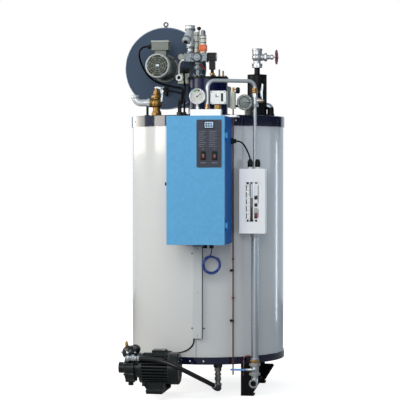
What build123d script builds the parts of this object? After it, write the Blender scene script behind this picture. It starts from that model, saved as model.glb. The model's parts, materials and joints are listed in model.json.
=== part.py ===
"""Upright steam boiler with a fan burner, control cabinet, water level fittings and feed pump.

Millimetres, +Z up. The origin is on the floor, on the axis of the shell. The cabinet faces -Y.
"""
import os
from math import radians, sqrt, tan

from build123d import *

# Clearances
FIT = 0.3               # between curved faces that meet
RUN = 0.4               # between a turning piece and its pin

# Shell
LEG_HEIGHT = 160.0
SHELL_HEIGHT = 1190.0
SHELL_R = 375.0
JACKET_WALL = 3.0
SEAM_GAP = 1.2
PLATE = 6.0
BAND_WALL = 5.0
TOP_BAND = 52.0
BASE_BAND = 35.0
BAND_EDGE = 2.5
TOP_Z = LEG_HEIGHT + SHELL_HEIGHT
BAND_R = SHELL_R + FIT + BAND_WALL

# Legs: a folded angle on a foot plate, with a wing on the front flange
LEG_INSET = 34.165      # from the shell's quarter points to the bolts, along X and Y
LEG_BOLT_R = 7.0
LEG_WALL = 8.0
LEG_FLANGE = 56.0
FOOT_SIZE = 62.0
WING_REACH = 48.0
WING_Z = 94.0
LEG_BOLT = SHELL_R / sqrt(2) - LEG_INSET
LEG_OUTER = LEG_BOLT + FOOT_SIZE / 2

# Flue spigot
FLUE_R = 75.0
FLUE_WALL = 3.0
FLUE_DROP = 190.0       # from the boiler's top
FLUE_REACH = 110.0
FLUE_INSET = 30.0
FLUE_COLLAR = 24.0
FLUE_COLLAR_REACH = 14.0
FLUE_Z = TOP_Z - FLUE_DROP

# Burner wind box
WIND_R = 98.0
WIND_H = 188.0
WIND_FLANGE_R = 116.0
WIND_FLANGE_T = 10.0
LID_R = 102.0
LID_T = 11.0
LID_Z = TOP_Z + WIND_H
LID_TOP = LID_Z + LID_T
NIPPLE_R = 4.0
NIPPLE_X = (57.0, 76.0)
NIPPLE_H = (38.0, 31.0)

# Burner fan
FAN_X = -233.0
FAN_RISE = 251.0
DISC_R = 208.0
DISC_T = 4.0
DISC_GAP = 7.0          # from the wind box back to the disc
SCROLL_DEPTH = 120.0
SCROLL_R = 196.0
SCROLL_STEP = 12.0      # the scroll loses this much radius each quarter turn
DUCT_H = 105.0
DUCT_END = 85.0
NECK_LOW = -45.0
NECK_HIGH = 60.0
NECK_EDGE = 10.0
INTAKE_R = 92.0
INTAKE_WALL = 4.0
INTAKE_LEN = 34.0
GUARD_T = 3.0
GUARD_BARS = 6
EYE_R = 13.0
EYE_HOLE_R = 6.5
EYE_T = 8.0
EYE_RISE = 15.0
EYE_GAP = 1.0           # from the scroll to the eye's tab
FAN_Z = TOP_Z + FAN_RISE
FAN_FRONT = WIND_R + DISC_GAP
SCROLL_FRONT = FAN_FRONT + DISC_T
SCROLL_BACK = SCROLL_FRONT + SCROLL_DEPTH

# Fan motor
MOTOR_R = 56.0
MOTOR_FLANGE_R = 70.0
MOTOR_FLANGE_T = 10.0
MOTOR_LEN = 180.0
MOTOR_FIN_H = 4.0
MOTOR_FIN_T = 3.0
MOTOR_FINS = 26
COWL_R = 61.0
COWL_WALL = 2.0
COWL_LEN = 44.0
COWL_EDGE = 7.0
COWL_SLOT = 5.0
COWL_RIB = 5.0
COWL_RINGS = (14.0, 25.0, 36.0, 47.0)
TERMINAL_W = 84.0
TERMINAL_D = 76.0
TERMINAL_H = 40.0
TERMINAL_LID = 8.0
TERMINAL_LIP = 4.0
TERMINAL_NECK = 22.0
TERMINAL_Y = -20.0
MOTOR_FRONT = FAN_FRONT - MOTOR_FLANGE_T - MOTOR_LEN
MOTOR_OUT_R = MOTOR_R + MOTOR_FIN_H
TERMINAL_Z = FAN_Z + MOTOR_OUT_R + TERMINAL_NECK

# Air pressure switch on the fan disc
SWITCH_LOW_X = -162.0
SWITCH_HIGH_X = -106.0
SWITCH_DEPTH = 43.0
SWITCH_DROP = 79.0
SWITCH_H = 50.0
SWITCH_CAP_W = 40.0
SWITCH_CAP_H = 30.0
BANJO_X = -155.0
BANJO_RISE = 29.0
BANJO_R = 17.0
BANJO_T = 16.0
BANJO_STEM_R = 4.6
BANJO_STEM_IN = 10.0
BANJO_STEM_H = 21.0
DISC_GLAND_X = -235.0
DISC_GLAND_DROP = 105.0
CAPSULE_X = -150.0
CAPSULE_R = 16.0
CAPSULE_RISE = 56.0
CAPSULE_DEPTH = 22.0

# Gas train
GAS_Y = -30.0
GAS_BLOCK_RISE = 75.0
GAS_BLOCK_H = 40.0
GAS_BLOCK_LOW = -108.0
GAS_BLOCK_HIGH = 2.0
GAS_BLOCK_D = 56.0
GAS_EDGE = 6.0
GAS_PIPE_X = -45.0
GAS_PIPE_R = 17.0
GAS_FLANGE_R = 30.0
GAS_FLANGE_T = 8.0
GAS_BOSS_R = 17.0
GAS_BOSS_T = 12.0
GAS_IN_X = -85.0
GAS_IN_R = 24.0
GAS_IN_BORE = 17.0
GAS_IN_DEPTH = 20.0
GAS_IN_H = 28.0
GAS_BODY_R = 19.0
GAS_BODY_H = 76.0
GAS_NECK_R = 14.0
GAS_NECK_H = 36.0
STRAINER_SIDE = -14.0
STRAINER_FRONT = -40.0
STRAINER_DROP = 50.0
COIL_A_X = -54.0
COIL_A_R = 10.0
COIL_A_H = 108.0
COIL_B_X = -20.0
COIL_B_R = 16.0
COIL_B_H = 92.0
COIL_B_CAP_R = 12.0
COIL_B_CAP_H = 20.0
KNOB_X = -40.5
KNOB_R = 6.0
KNOB_STEM_R = 3.0
KNOB_H = 118.0
SOLENOID_GAP = 4.0
SOLENOID_SIZE = 40.0
SOLENOID_BODY = 28.0
SOLENOID_BODY_H = 43.0
SOLENOID_PIPE_R = 8.0
GAS_BLOCK_Z = LID_TOP + GAS_BLOCK_RISE
GAS_TOP_Z = GAS_BLOCK_Z + GAS_BLOCK_H
GAS_BODY_Z = GAS_TOP_Z + GAS_NECK_H
GAS_IN_Z = GAS_BODY_Z + GAS_BODY_H
GAS_FRONT = GAS_Y - GAS_BLOCK_D / 2
SOLENOID_LOW = GAS_BLOCK_HIGH + SOLENOID_GAP
SOLENOID_X = SOLENOID_LOW + SOLENOID_SIZE / 2
SOLENOID_Z = GAS_BLOCK_Z + SOLENOID_GAP

# Safety valve and its discharge
SAFETY_X = -217.0
SAFETY_INSET = 55.14    # from the jacket, towards the axis
SAFETY_HEX = 40.0
SAFETY_HEX_H = 22.0
SAFETY_BODY_R = 18.0
SAFETY_BODY_H = 68.0
SAFETY_BONNET_R = 14.0
SAFETY_BONNET_H = 30.0
SAFETY_CAP_R = 8.0
SAFETY_CAP_H = 14.0
SAFETY_OUT_RISE = 63.0
SAFETY_OUT_R = 21.0
SAFETY_OUT_LEN = 32.0
SAFETY_LEVER_LEN = 42.0
SAFETY_LEVER_T = 5.0
DISCHARGE_R = 17.0
DISCHARGE_BORE = 13.5
DISCHARGE_LEN = 74.0
DISCHARGE_TURN = 30.0
DISCHARGE_RISE = 38.0
DISCHARGE_BEAD_R = 21.0
DISCHARGE_BEAD_T = 12.0
SUPPORT_OUT = 45.0      # from the valve's axis
SUPPORT_R = 6.0
SUPPORT_FOOT_R = 14.0
SUPPORT_FOOT_T = 4.0
SAFETY_Y = -sqrt((SHELL_R - SAFETY_INSET) ** 2 - SAFETY_X ** 2)
SAFETY_OUT_Z = TOP_Z + SAFETY_OUT_RISE
DISCHARGE_X = SAFETY_X - SAFETY_OUT_LEN - DISCHARGE_LEN
SUPPORT_X = SAFETY_X - SUPPORT_OUT

# Steam separator and steam valve
STEAM_INSET = 113.0     # from the jacket's right side
STEAM_Y = -130.0
SEP_R = 47.0
SEP_H = 201.0
SEP_EDGE = 2.0
SEP_NECK_R = 13.5
SEP_NECK_H = 34.0
RETURN_R = 16.0
RETURN_TURN = 18.0
RETURN_LEAD = 1.0
RETURN_RISE = 48.0
RETURN_BAND_R = 19.0
RETURN_BAND_T = 10.0
VALVE_HEX = 44.0
VALVE_HEX_H = 20.0
VALVE_NECK_R = 17.0
VALVE_BODY_R = 25.0
VALVE_AXIS_RISE = 51.0
VALVE_SOCKET_R = 23.5
VALVE_SOCKET_H = 29.0
VALVE_BORE = 15.0
VALVE_BORE_DEPTH = 24.0
VALVE_TOP_RISE = 93.0
BONNET_R = 18.0
BONNET_TIP_R = 10.0
BONNET_START = 20.0
BONNET_END = 62.0
GLAND_NUT_R = 9.0
GLAND_NUT_END = 80.0
STEM_R = 4.0
STEM_END = 104.0
WHEEL_R = 31.5
WHEEL_RIM_R = 4.6
WHEEL_HUB_R = 8.5
WHEEL_HUB_T = 14.0
WHEEL_SPOKE_R = 3.2
WHEEL_SPOKES = 4
WHEEL_OFFSET = 95.0
STEAM_X = SHELL_R - STEAM_INSET
SEP_TOP = TOP_Z + SEP_H
VALVE_Z = SEP_TOP + SEP_NECK_H
STEAM_AXIS_Z = VALVE_Z + VALVE_AXIS_RISE
VALVE_TOP = VALVE_Z + VALVE_TOP_RISE
RETURN_X = STEAM_X + SEP_R + RETURN_TURN + RETURN_LEAD

# Control cabinet and its door
CAB_LEFT = -95.0
CAB_W = 270.0
CAB_H = 593.0
CAB_D = 250.0
CAB_DROP = 14.0         # from the boiler's top
CAB_WALL = 2.0
CAB_LIP = 14.0
CAB_STANDOFF = 15.0
CAB_EDGE = 3.0
DOOR_D = 22.0
DOOR_GAP = 2.0
RAIL_H = 40.0
RAIL_EDGE = 30.0
RAIL_INSET = 70.0
PLATE_EDGE = 24.0
PLATE_STANDOFF = 10.0
SPACER_R = 6.0
HINGE_R = 5.0
HINGE_PIN_R = 2.4
HINGE_OUT = 5.6
HINGE_LEN = 24.0
HINGE_END = 14.0
HINGE_LEAF = 2.0
HINGE_LEAF_W = 16.0
HINGE_INSET = 90.0
PANEL_LEFT = 141.0      # from the cabinet's left side
PANEL_W = 115.0
PANEL_DROP = 19.0       # from the cabinet's top
PANEL_H = 218.0
PANEL_T = 3.0
PANEL_EDGE = 3.0
DISPLAY_W = 39.0
DISPLAY_H = 26.5
DISPLAY_DROP = 10.0
DISPLAY_T = 1.5
ROCKER_W = 16.0
ROCKER_H = 31.0
ROCKER_T = 6.0
ROCKER_RISE = 38.0      # rocker's lower edge above the panel's lower edge
ROCKER_PITCH = 52.0
LATCH_RISE = 280.0
LATCH_IN = 10.0
LATCH_R = 7.0
LATCH_T = 4.0
LATCH_GRIP_W = 5.0
LATCH_GRIP_H = 16.0
LATCH_GRIP_T = 4.0
CAB_RIGHT = CAB_LEFT + CAB_W
CAB_TOP = TOP_Z - CAB_DROP
CAB_Z = CAB_TOP - CAB_H
CAB_BACK = -(BAND_R + CAB_STANDOFF)
CAB_FRONT = CAB_BACK - CAB_D
BOX_FRONT = CAB_FRONT + DOOR_D + DOOR_GAP
HINGE_X = CAB_RIGHT + HINGE_OUT
HINGE_Y = CAB_FRONT + DOOR_D + DOOR_GAP / 2
PANEL_X = CAB_LEFT + PANEL_LEFT + PANEL_W / 2
PANEL_TOP = CAB_TOP - PANEL_DROP
PANEL_Z = PANEL_TOP - PANEL_H / 2
PANEL_FRONT = CAB_FRONT - PANEL_T

# Cable glands
GLAND_HEX = 24.0
GLAND_HEX_T = 8.0
GLAND_CAP_R = 10.0
GLAND_CAP_T = 16.0
GLAND_LEN = GLAND_HEX_T + GLAND_CAP_T
SIDE_GLAND_IN = 24.7    # from the cabinet's back
SIDE_GLAND_DROP = 113.0
LOWER_GLAND_X = (55.0, 86.0)
LOWER_GLAND_IN = 54.7
UPPER_GLAND_X = (-75.0, -48.0, -61.5)
UPPER_GLAND_IN = (29.7, 29.7, 56.7)
SIDE_GLAND_Y = CAB_BACK - SIDE_GLAND_IN
LOWER_GLAND_Y = CAB_BACK - LOWER_GLAND_IN

# Cable trunking on the jacket
TRUNK_LEFT = -13.0
TRUNK_W = 45.0
TRUNK_DEPTH = 20.0      # proud of the jacket at its front
TRUNK_RISE = 125.0      # from the underside of the shell
TRUNK_GAP = 16.0        # to the cabinet above
TRUNK_EDGE = 2.0
TRUNK_FRONT = -(SHELL_R + TRUNK_DEPTH)
TRUNK_Z = LEG_HEIGHT + TRUNK_RISE
TRUNK_TOP = CAB_Z - TRUNK_GAP

# Instruments on the cabinet's top
BRACKET_LEFT = -14.0
BRACKET_W = 145.0
BRACKET_D = 44.0
BRACKET_H = 36.0
BRACKET_WALL = 4.0
BRACKET_IN = 44.7       # from the cabinet's back
ARM_END = 204.0
ARM_H = 8.0
ARM_D = 34.0
GAUGE_X = 18.0
GAUGE_R = 37.5
GAUGE_D = 32.0
GAUGE_BEZEL = 4.0
GAUGE_RECESS = 5.0
GAUGE_RISE = 61.0
GAUGE_STEM_R = 6.0
GAUGE_HEX = 16.0
GAUGE_HEX_H = 10.0
PSWITCH_X = 119.5
PSWITCH_W = 73.0
PSWITCH_H = 62.0
PSWITCH_D = 56.0
PSWITCH_RISE = 24.0
PSWITCH_EDGE = 5.0
PSWITCH_HEX = 20.0
IMPULSE_X = 65.5
IMPULSE_R = 9.0
IMPULSE_RISE = 136.0
IMPULSE_TURN = 34.0
BRACKET_Y = CAB_BACK - BRACKET_IN
BRACKET_TOP = CAB_TOP + BRACKET_H
IMPULSE_Z = BRACKET_TOP + IMPULSE_RISE

# Water level column: level control, cock, gauge box, pipes and blow-down valve
COLUMN_X = 277.0
COLUMN_GAP = 63.55      # from the jacket to the column's axis
COCK_RISE = 66.0
COCK_BODY_R = 15.0
COCK_BODY_H = 34.0
COCK_NUT = 22.0
COCK_NUT_H = 18.0
COCK_END_R = 11.0
COCK_END_LEN = 18.0
COCK_STEM_R = 4.0
COCK_STEM_LEN = 10.0
COCK_LEVER_W = 13.0
COCK_LEVER_T = 4.0
COCK_LEVER_LEN = 80.0
COCK_HUB_R = 9.0
LEVEL_X = 231.0
LEVEL_R = 34.5
LEVEL_D = 46.0
LEVEL_RIM_R = 37.5
LEVEL_RIM_T = 9.0
LEVEL_RISE = 57.0
LEVEL_OUT = 32.0        # in front of the column's axis
LEVEL_RIB_H = 7.0
LEVEL_RIB_T = 4.0
LEVEL_PIPE_R = 13.0
LEVEL_PIPE_LEN = 64.0
LEVEL_PIPE_TURN = 26.0
NEEDLE_X = 176.0
NEEDLE_OUT = 22.0       # in front of the column's axis
NEEDLE_R = 13.0
NEEDLE_RISE = 27.0
NEEDLE_H = 82.0
NEEDLE_TOP_R = 6.0
NEEDLE_TOP_H = 19.0
NEEDLE_KNOB_R = 8.0
NEEDLE_KNOB_LEN = 18.0
DROP_R = 8.0
BOX_W = 124.0
BOX_ASIDE = 8.0         # from the column's axis to the box's middle
BOX_H = 306.0
BOX_D = 65.0
BOX_WALL = 3.0
BOX_RISE = 627.0
BOX_BEHIND = 20.5       # from the column's axis to the box's back
BOX_EDGE = 3.0
WINDOW_W = 65.0
WINDOW_H = 188.0
WINDOW_RISE = 55.0
CORE_W = 72.0
CORE_D = 30.0
CORE_EDGE = 22.0
CORE_SLOT_W = 18.0
CORE_SLOT_D = 12.0
GLASS_W = 14.0
GLASS_D = 9.0
BOX_GLAND_X = (258.0, 293.0)
BOX_GLAND_IN = 22.0
COLUMN_R = 17.0
BLOW_RISE = -20.0       # valve axis from the underside of the shell
BLOW_HEX = 46.0
BLOW_END_H = 14.0
BLOW_BODY_R = 20.0
BLOW_BODY_H = 32.0
BLOW_STEM_R = 5.0
BLOW_NECK_R = 10.0
BLOW_NECK_LEN = 14.0
BLOW_STEM_LEN = 12.0
BLOW_LEVER_LEN = 117.0
BLOW_LEVER_W = 14.0
BLOW_LEVER_T = 5.0
BLOW_HUB_R = 11.0
DRAIN_R = 16.0
DRAIN_TURN = 20.0
DRAIN_BORE = 13.5
DRAIN_MOUTH_R = 21.0
DRAIN_MOUTH_LEN = 22.0
DRAIN_MOUTH_OUT = 55.0  # in front of the column's axis
DRAIN_DROP = 63.0
DRAIN_DEPTH = 24.0
COPPER_R = 3.5
COPPER_DROP = 46.0      # below the underside of the shell
CLIP_RISE = (320.0, 505.0)
CLIP_R = 6.5
CLIP_T = 8.0
CLIP_POST_R = 3.0
COLUMN_Y = -sqrt((SHELL_R + COLUMN_GAP) ** 2 - COLUMN_X ** 2)
BOX_X = COLUMN_X - BOX_ASIDE
COCK_Z = TOP_Z + COCK_RISE
COCK_TOP = COCK_Z + COCK_BODY_H / 2
COCK_LOW = COCK_Z - COCK_BODY_H / 2
IMPULSE_END = COCK_TOP + COCK_NUT_H
LEVEL_Z = TOP_Z + LEVEL_RISE
LEVEL_FRONT = COLUMN_Y - LEVEL_OUT
LEVEL_BACK = LEVEL_FRONT + LEVEL_D
LEVEL_PIPE_Y = LEVEL_BACK + LEVEL_PIPE_LEN
NEEDLE_Y = COLUMN_Y - NEEDLE_OUT
NEEDLE_Z = TOP_Z + NEEDLE_RISE
BOX_Z = LEG_HEIGHT + BOX_RISE
BOX_TOP = BOX_Z + BOX_H
BOX_BACK = COLUMN_Y + BOX_BEHIND
BOX_FACE = BOX_BACK - BOX_D
BLOW_Z = LEG_HEIGHT + BLOW_RISE
BLOW_TOP = BLOW_Z + BLOW_BODY_H / 2 + BLOW_END_H
BLOW_LOW = BLOW_Z - BLOW_BODY_H / 2 - BLOW_END_H
BLOW_LEVER_Y = COLUMN_Y - BLOW_BODY_R - BLOW_NECK_LEN
DRAIN_MOUTH_Y = COLUMN_Y - DRAIN_MOUTH_OUT
DRAIN_Z = BLOW_Z - DRAIN_DROP
COPPER_Z = LEG_HEIGHT - COPPER_DROP

# Feed pump on a bracket from the front left leg
PUMP_OUT = 80.0         # from the jacket to the pump's axis
PUMP_Z = 150.0
PUMP_FOOT_IN = 52.0     # from the leg's bolt to the middle of the pump's foot
PUMP_FOOT_OFF = 4.0     # from the middle of the motor
PUMP_COVER_LEN = 48.0
PUMP_COVER_R = 75.0
PUMP_COVER_EDGE = 9.0
PUMP_R = 66.0
PUMP_FIN_H = 7.0
PUMP_FIN_T = 4.0
PUMP_FINS = 30
PUMP_LEN = 126.0
PUMP_SHIELD_R = 70.0
PUMP_SHIELD_T = 14.0
PUMP_LANTERN_R = 46.0
PUMP_LANTERN_LEN = 22.0
PUMP_CASE_R = 64.0
PUMP_CASE_LEN = 48.0
PUMP_EDGE = 6.0
SUCTION_R = 26.0
SUCTION_LEN = 34.0
SUCTION_BORE = 17.0
SUCTION_DEPTH = 26.0
RISER_R = 24.0
RISER_H = 104.0
RISER_EDGE = 8.0
NOZZLE_RISE = 54.0
NOZZLE_R = 15.0
NOZZLE_LEN = 77.0
HOSE_NIPPLE_R = 11.5
HOSE_NIPPLE_LEN = 34.0
PUMP_FOOT_W = 80.0
PUMP_FOOT_D = 110.0
PUMP_FOOT_T = 10.0
PUMP_FOOT_DROP = 108.0
PUMP_FOOT_WEB = 60.0
PUMP_ARM_T = 8.0
PUMP_ARM_W = 76.0
PBOX_IN = 38.0          # from the motor's end
PBOX_W = 62.0
PBOX_D = 70.0
PBOX_OFF = 5.0          # behind the pump's axis
PBOX_RISE = 42.0
PBOX_H = 42.0
PBOX_EDGE = 3.0
PBOX_GLAND_RISE = 24.0
PBOX_GLAND_IN = 16.0
PUMP_BODY_R = PUMP_R + PUMP_FIN_H
PUMP_Y = -(SHELL_R + PUMP_OUT)
PUMP_FOOT_X = PUMP_FOOT_IN - LEG_BOLT
PUMP_MOTOR_X = PUMP_FOOT_X + PUMP_FOOT_OFF - PUMP_LEN / 2
PUMP_COVER_X = PUMP_MOTOR_X + PUMP_LEN
PUMP_RIGHT = PUMP_COVER_X + PUMP_COVER_LEN
PUMP_SHIELD_X = PUMP_MOTOR_X - PUMP_SHIELD_T
PUMP_LANTERN_X = PUMP_SHIELD_X - PUMP_LANTERN_LEN
PUMP_CASE_X = PUMP_LANTERN_X - PUMP_CASE_LEN
PUMP_CASE_MID = PUMP_LANTERN_X - PUMP_CASE_LEN / 2
NOZZLE_Z = PUMP_Z + NOZZLE_RISE
NOZZLE_Y = PUMP_Y - NOZZLE_LEN
PUMP_FOOT_Z = PUMP_Z - PUMP_FOOT_DROP
PBOX_LOW = PUMP_MOTOR_X + PBOX_IN
PBOX_FRONT = PUMP_Y + PBOX_OFF
PBOX_BACK = PBOX_FRONT + PBOX_D
PBOX_Z = PUMP_Z + PBOX_RISE
PBOX_GLAND_Y = PBOX_BACK - PBOX_GLAND_IN
PBOX_GLAND_Z = PBOX_Z + PBOX_GLAND_RISE

# Cords: the radius, and the points of each route
ARC_SHARE = 0.45        # of the shorter run, for the arc at each point
HOSE_R = 11.0
HOSE_POINTS = [(-256.5, -532, 204), (-190, -534, 203), (-125, -540, 192), (-68, -542, 170), (-22, -526, 146),
               (18, -485, 118), (50, -415, 88), (84, -325, 52)]
CABLE_R = 3.8
BURNER_CABLE_R = 4.8
PUMP_CABLE_POINTS = [(-114, -396, 216), (-84, -396, 216), (-54, -394, 223), (-28, -390, 237),
                     (-14, -387.4, 254), (-8, -386, 271), (-8, -386, 285)]
GAUGE_CABLE_POINTS = [(199, -420, 1223), (214.5, -420, 1221.6), (228.5, -414.5, 1213), (240, -403, 1195),
                      (249.5, -387, 1172), (256.5, -371.5, 1149), (258, -362.5, 1131), (258, -362.5, 1117)]
FAN_CABLE_POINTS = [(-299, -20, 1703), (-315.5, -20, 1703), (-331, -18.6, 1697.6), (-342, -15, 1686.4),
                    (-347.6, -9.4, 1671.4), (-348.4, -1, 1654), (-344.5, 11, 1630), (-335, 26, 1602.5),
                    (-322, 42.5, 1575.5), (-302, 59, 1550.5), (-274, 72, 1532), (-240, 81, 1519),
                    (-204, 82, 1510.5), (-170, 68, 1504), (-142, 40, 1498.5), (-126, 0, 1491),
                    (-117, -52, 1476.5), (-107.5, -130, 1452), (-98, -215, 1432), (-88, -295, 1422),
                    (-81, -352, 1418.5), (-77.8, -385, 1415), (-76, -406.5, 1405), (-75.2, -419, 1390.5),
                    (-75, -425, 1375), (-75, -425, 1360)]
VALVE_CABLE_POINTS = [(-126, 52.33, 1587), (-126, 35, 1587), (-125, 18, 1581), (-122.5, 5.5, 1567),
                      (-120.5, -1.5, 1548), (-118.5, -7, 1523), (-113, -20, 1503), (-106, -57, 1489),
                      (-97, -128, 1469), (-84, -210, 1450), (-70, -290, 1438), (-59, -350, 1433),
                      (-53, -386, 1427.5), (-49.7, -407.5, 1415), (-48.3, -419.5, 1398.5),
                      (-48, -425, 1379.5), (-48, -425, 1360)]
SPARK_CABLE_POINTS = [(-235, 81, 1496), (-235, 61, 1496), (-228, 43, 1492.5), (-211, 29, 1488),
                      (-183, 18, 1482), (-154, 3, 1475), (-130, -24, 1468), (-117, -64, 1457),
                      (-106, -130, 1438), (-95, -205, 1420), (-84, -280, 1408), (-75, -346, 1404),
                      (-65.5, -384, 1411), (-63, -410, 1416), (-62.3, -429, 1412), (-61.9, -442, 1401.5),
                      (-61.6, -449.5, 1387), (-61.5, -452, 1372), (-61.5, -452, 1360)]
AIR_TUBE_R = 4.0
AIR_TUBE_POINTS = [(-108, -30, 1636), (-122, -28, 1634), (-133, -20, 1628.5), (-141.5, -7, 1620),
                   (-147.5, 10, 1609.5), (-151.5, 28, 1598), (-154, 41.5, 1586), (-155, 49.5, 1572)]
TUBE_R = 3.0
TUBE_X = LOWER_GLAND_X[1]
TUBE_Z = CAB_Z - GLAND_LEN
TUBE_LEAD = 19.0
TUBE_SIDE = -2.0
TUBE_BACK = 4.0
TUBE_DROP = 35.0
TUBE_COIL_DROP = 81.0
TUBE_POINTS = [(TUBE_X, LOWER_GLAND_Y, TUBE_Z), (TUBE_X, LOWER_GLAND_Y, TUBE_Z - TUBE_LEAD),
               (TUBE_X + TUBE_SIDE, LOWER_GLAND_Y + TUBE_BACK, TUBE_Z - TUBE_DROP)]
TUBE_COIL = (TUBE_X + TUBE_SIDE, LOWER_GLAND_Y + TUBE_BACK, TUBE_Z - TUBE_COIL_DROP)
TUBE_COIL_R = 36.0
TUBE_COIL_THICK = 10.0

# Feed inlet under the shell: it carries on where the hose ends, then turns up
FEED_START_X = 84.0
FEED_INSET = 50.0       # from the jacket, where the hose ends
FEED_DROP = 108.0       # below the underside of the shell
FEED_R = 12.5
FEED_LEAD = 30.0
FEED_TURN = 18.0
FEED_SOCKET_R = 18.0
FEED_SOCKET_H = 22.0
FEED_NUT = 30.0
FEED_NUT_LEN = 16.0
FEED_START = Vector(FEED_START_X, -(SHELL_R - FEED_INSET), LEG_HEIGHT - FEED_DROP)
FEED_RUN = Vector(*HOSE_POINTS[-1]) - Vector(*HOSE_POINTS[-2])
FEED_CORNER = FEED_START + FEED_RUN.normalized() * FEED_LEAD
FEED_X = FEED_CORNER.X
FEED_Y = FEED_CORNER.Y


def facing(y):
    """Sketch plane seen from the front at depth y, with x to the right and y up."""
    return Plane.XZ.offset(-y)


def rod(start, end, radius, mode=Mode.ADD):
    """Round bar between two points."""
    axis = Vector(*end) - Vector(*start)
    with Locations(Plane(origin=start, z_dir=axis).location):
        Cylinder(radius, axis.length, align=(Align.CENTER, Align.CENTER, Align.MIN), mode=mode)


def block(low, high, mode=Mode.ADD):
    """Box between two corners."""
    size = Vector(*high) - Vector(*low)
    with Locations((Vector(*high) + Vector(*low)) / 2):
        Box(size.X, size.Y, size.Z, mode=mode)


def hex_bar(start, end, across):
    """Hexagon bar between two points, measured across its flats."""
    axis = Vector(*end) - Vector(*start)
    with BuildPart() as bar:
        with BuildSketch(Plane(origin=start, z_dir=axis)):
            RegularPolygon(across / 2, 6, major_radius=False)
        extrude(amount=axis.length)
    return bar.part


def tube(points, radii, radius):
    """Round bar along straight runs joined by arcs."""
    with BuildPart() as run:
        with BuildLine() as path:
            FilletPolyline(*points, radius=radii)
        with BuildSketch(Plane(origin=path.line @ 0, z_dir=path.line % 0)):
            Circle(radius)
        sweep()
    return run.part


def corner_radii(points):
    """Radius of each corner of a cord's route, so that its arcs take most of the runs."""
    radii = []
    for before, here, after in zip(points, points[1:], points[2:]):
        incoming = Vector(*here) - Vector(*before)
        outgoing = Vector(*after) - Vector(*here)
        turn = radians(incoming.get_angle(outgoing))
        radii.append(ARC_SHARE * min(incoming.length, outgoing.length) / tan(turn / 2))
    return radii


def cord(name, points, radius):
    """Cord along its route, with its bends printed in cord diameters."""
    radii = corner_radii(points)
    print(name, "bend radii in diameters:", [round(bend / (2 * radius), 1) for bend in radii])
    return tube(points, radii, radius)


def gland(start, direction):
    """Cable gland that stands on a wall, with its cap outwards."""
    nose = tuple(Vector(*start) + Vector(*direction) * GLAND_HEX_T)
    tip = tuple(Vector(*start) + Vector(*direction) * GLAND_LEN)
    add(hex_bar(start, nose, GLAND_HEX))
    rod(nose, tip, GLAND_CAP_R)


def save(name, *pieces):
    """Write the solids of one node, with the node's name as their label."""
    node = pieces[0] if len(pieces) == 1 else Compound(children=list(pieces))
    node.label = name
    export_step(node, f"parts/{name}.step")


os.makedirs("parts", exist_ok=True)


# Jacket: two half shells that meet on the front and back seams
def jacket_half(side):
    """Half of the jacket, on the left for side -1 and on the right for side 1."""
    with BuildPart() as half:
        with BuildSketch(Plane.XY.offset(LEG_HEIGHT + PLATE)):
            Circle(SHELL_R)
            Circle(SHELL_R - JACKET_WALL, mode=Mode.SUBTRACT)
            with Locations((side * (SEAM_GAP / 2 - SHELL_R), 0)):
                Rectangle(2 * SHELL_R, 2 * BAND_R, mode=Mode.SUBTRACT)
        extrude(amount=SHELL_HEIGHT - 2 * PLATE)
        rod((0, SHELL_R - FLUE_R, FLUE_Z), (0, BAND_R, FLUE_Z), FLUE_R + FIT, Mode.SUBTRACT)
    return half.part


save("jacket_left", jacket_half(-1))
save("jacket_right", jacket_half(1))

with BuildPart() as top_cover:
    with BuildSketch(Plane.XY.offset(TOP_Z - TOP_BAND)):
        Circle(BAND_R)
        Circle(SHELL_R + FIT, mode=Mode.SUBTRACT)
    extrude(amount=TOP_BAND - PLATE)
    with BuildSketch(Plane.XY.offset(TOP_Z - PLATE)):
        Circle(BAND_R)
    extrude(amount=PLATE)
    fillet(top_cover.edges().group_by(Axis.Z)[-1], BAND_EDGE)
save("top_cover", top_cover.part)

with BuildPart() as base_pan:
    with BuildSketch(Plane.XY.offset(LEG_HEIGHT)):
        Circle(BAND_R)
    extrude(amount=PLATE)
    with BuildSketch(Plane.XY.offset(LEG_HEIGHT + PLATE)):
        Circle(BAND_R)
        Circle(SHELL_R + FIT, mode=Mode.SUBTRACT)
    extrude(amount=BASE_BAND - PLATE)
    fillet(base_pan.edges().group_by(Axis.Z)[0], BAND_EDGE)
save("base_pan", base_pan.part)


def leg(side, end):
    """Leg on one side (1 is right) of one end (1 is back)."""
    inner = LEG_BOLT - FOOT_SIZE / 2
    with BuildPart() as made:
        with BuildSketch(Plane.XY):
            with Locations((side * LEG_BOLT, end * LEG_BOLT)):
                Rectangle(FOOT_SIZE, FOOT_SIZE)
                Circle(LEG_BOLT_R, mode=Mode.SUBTRACT)
        extrude(amount=LEG_WALL)
        with BuildSketch(Plane.XY.offset(LEG_WALL)):
            with Locations((side * (inner + LEG_FLANGE / 2), end * (LEG_OUTER - LEG_WALL / 2))):
                Rectangle(LEG_FLANGE, LEG_WALL)
            with Locations((side * (inner + LEG_WALL / 2), end * (LEG_OUTER - LEG_FLANGE / 2))):
                Rectangle(LEG_WALL, LEG_FLANGE)
        extrude(amount=LEG_HEIGHT - LEG_WALL)
        with BuildSketch(facing(end * (LEG_OUTER - LEG_WALL / 2))):
            with BuildLine():
                Polyline((side * (inner + LEG_FLANGE - LEG_WALL), LEG_WALL),
                         (side * (inner + LEG_FLANGE), LEG_WALL),
                         (side * (inner + LEG_FLANGE + WING_REACH), WING_Z - LEG_WALL),
                         (side * (inner + LEG_FLANGE + WING_REACH - LEG_WALL), WING_Z),
                         (side * (inner + LEG_FLANGE - LEG_WALL), WING_Z), close=True)
            make_face()
        extrude(amount=LEG_WALL / 2, both=True)
    return made.part


legs = [leg(side, end) for end in (-1, 1) for side in (-1, 1)]

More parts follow.
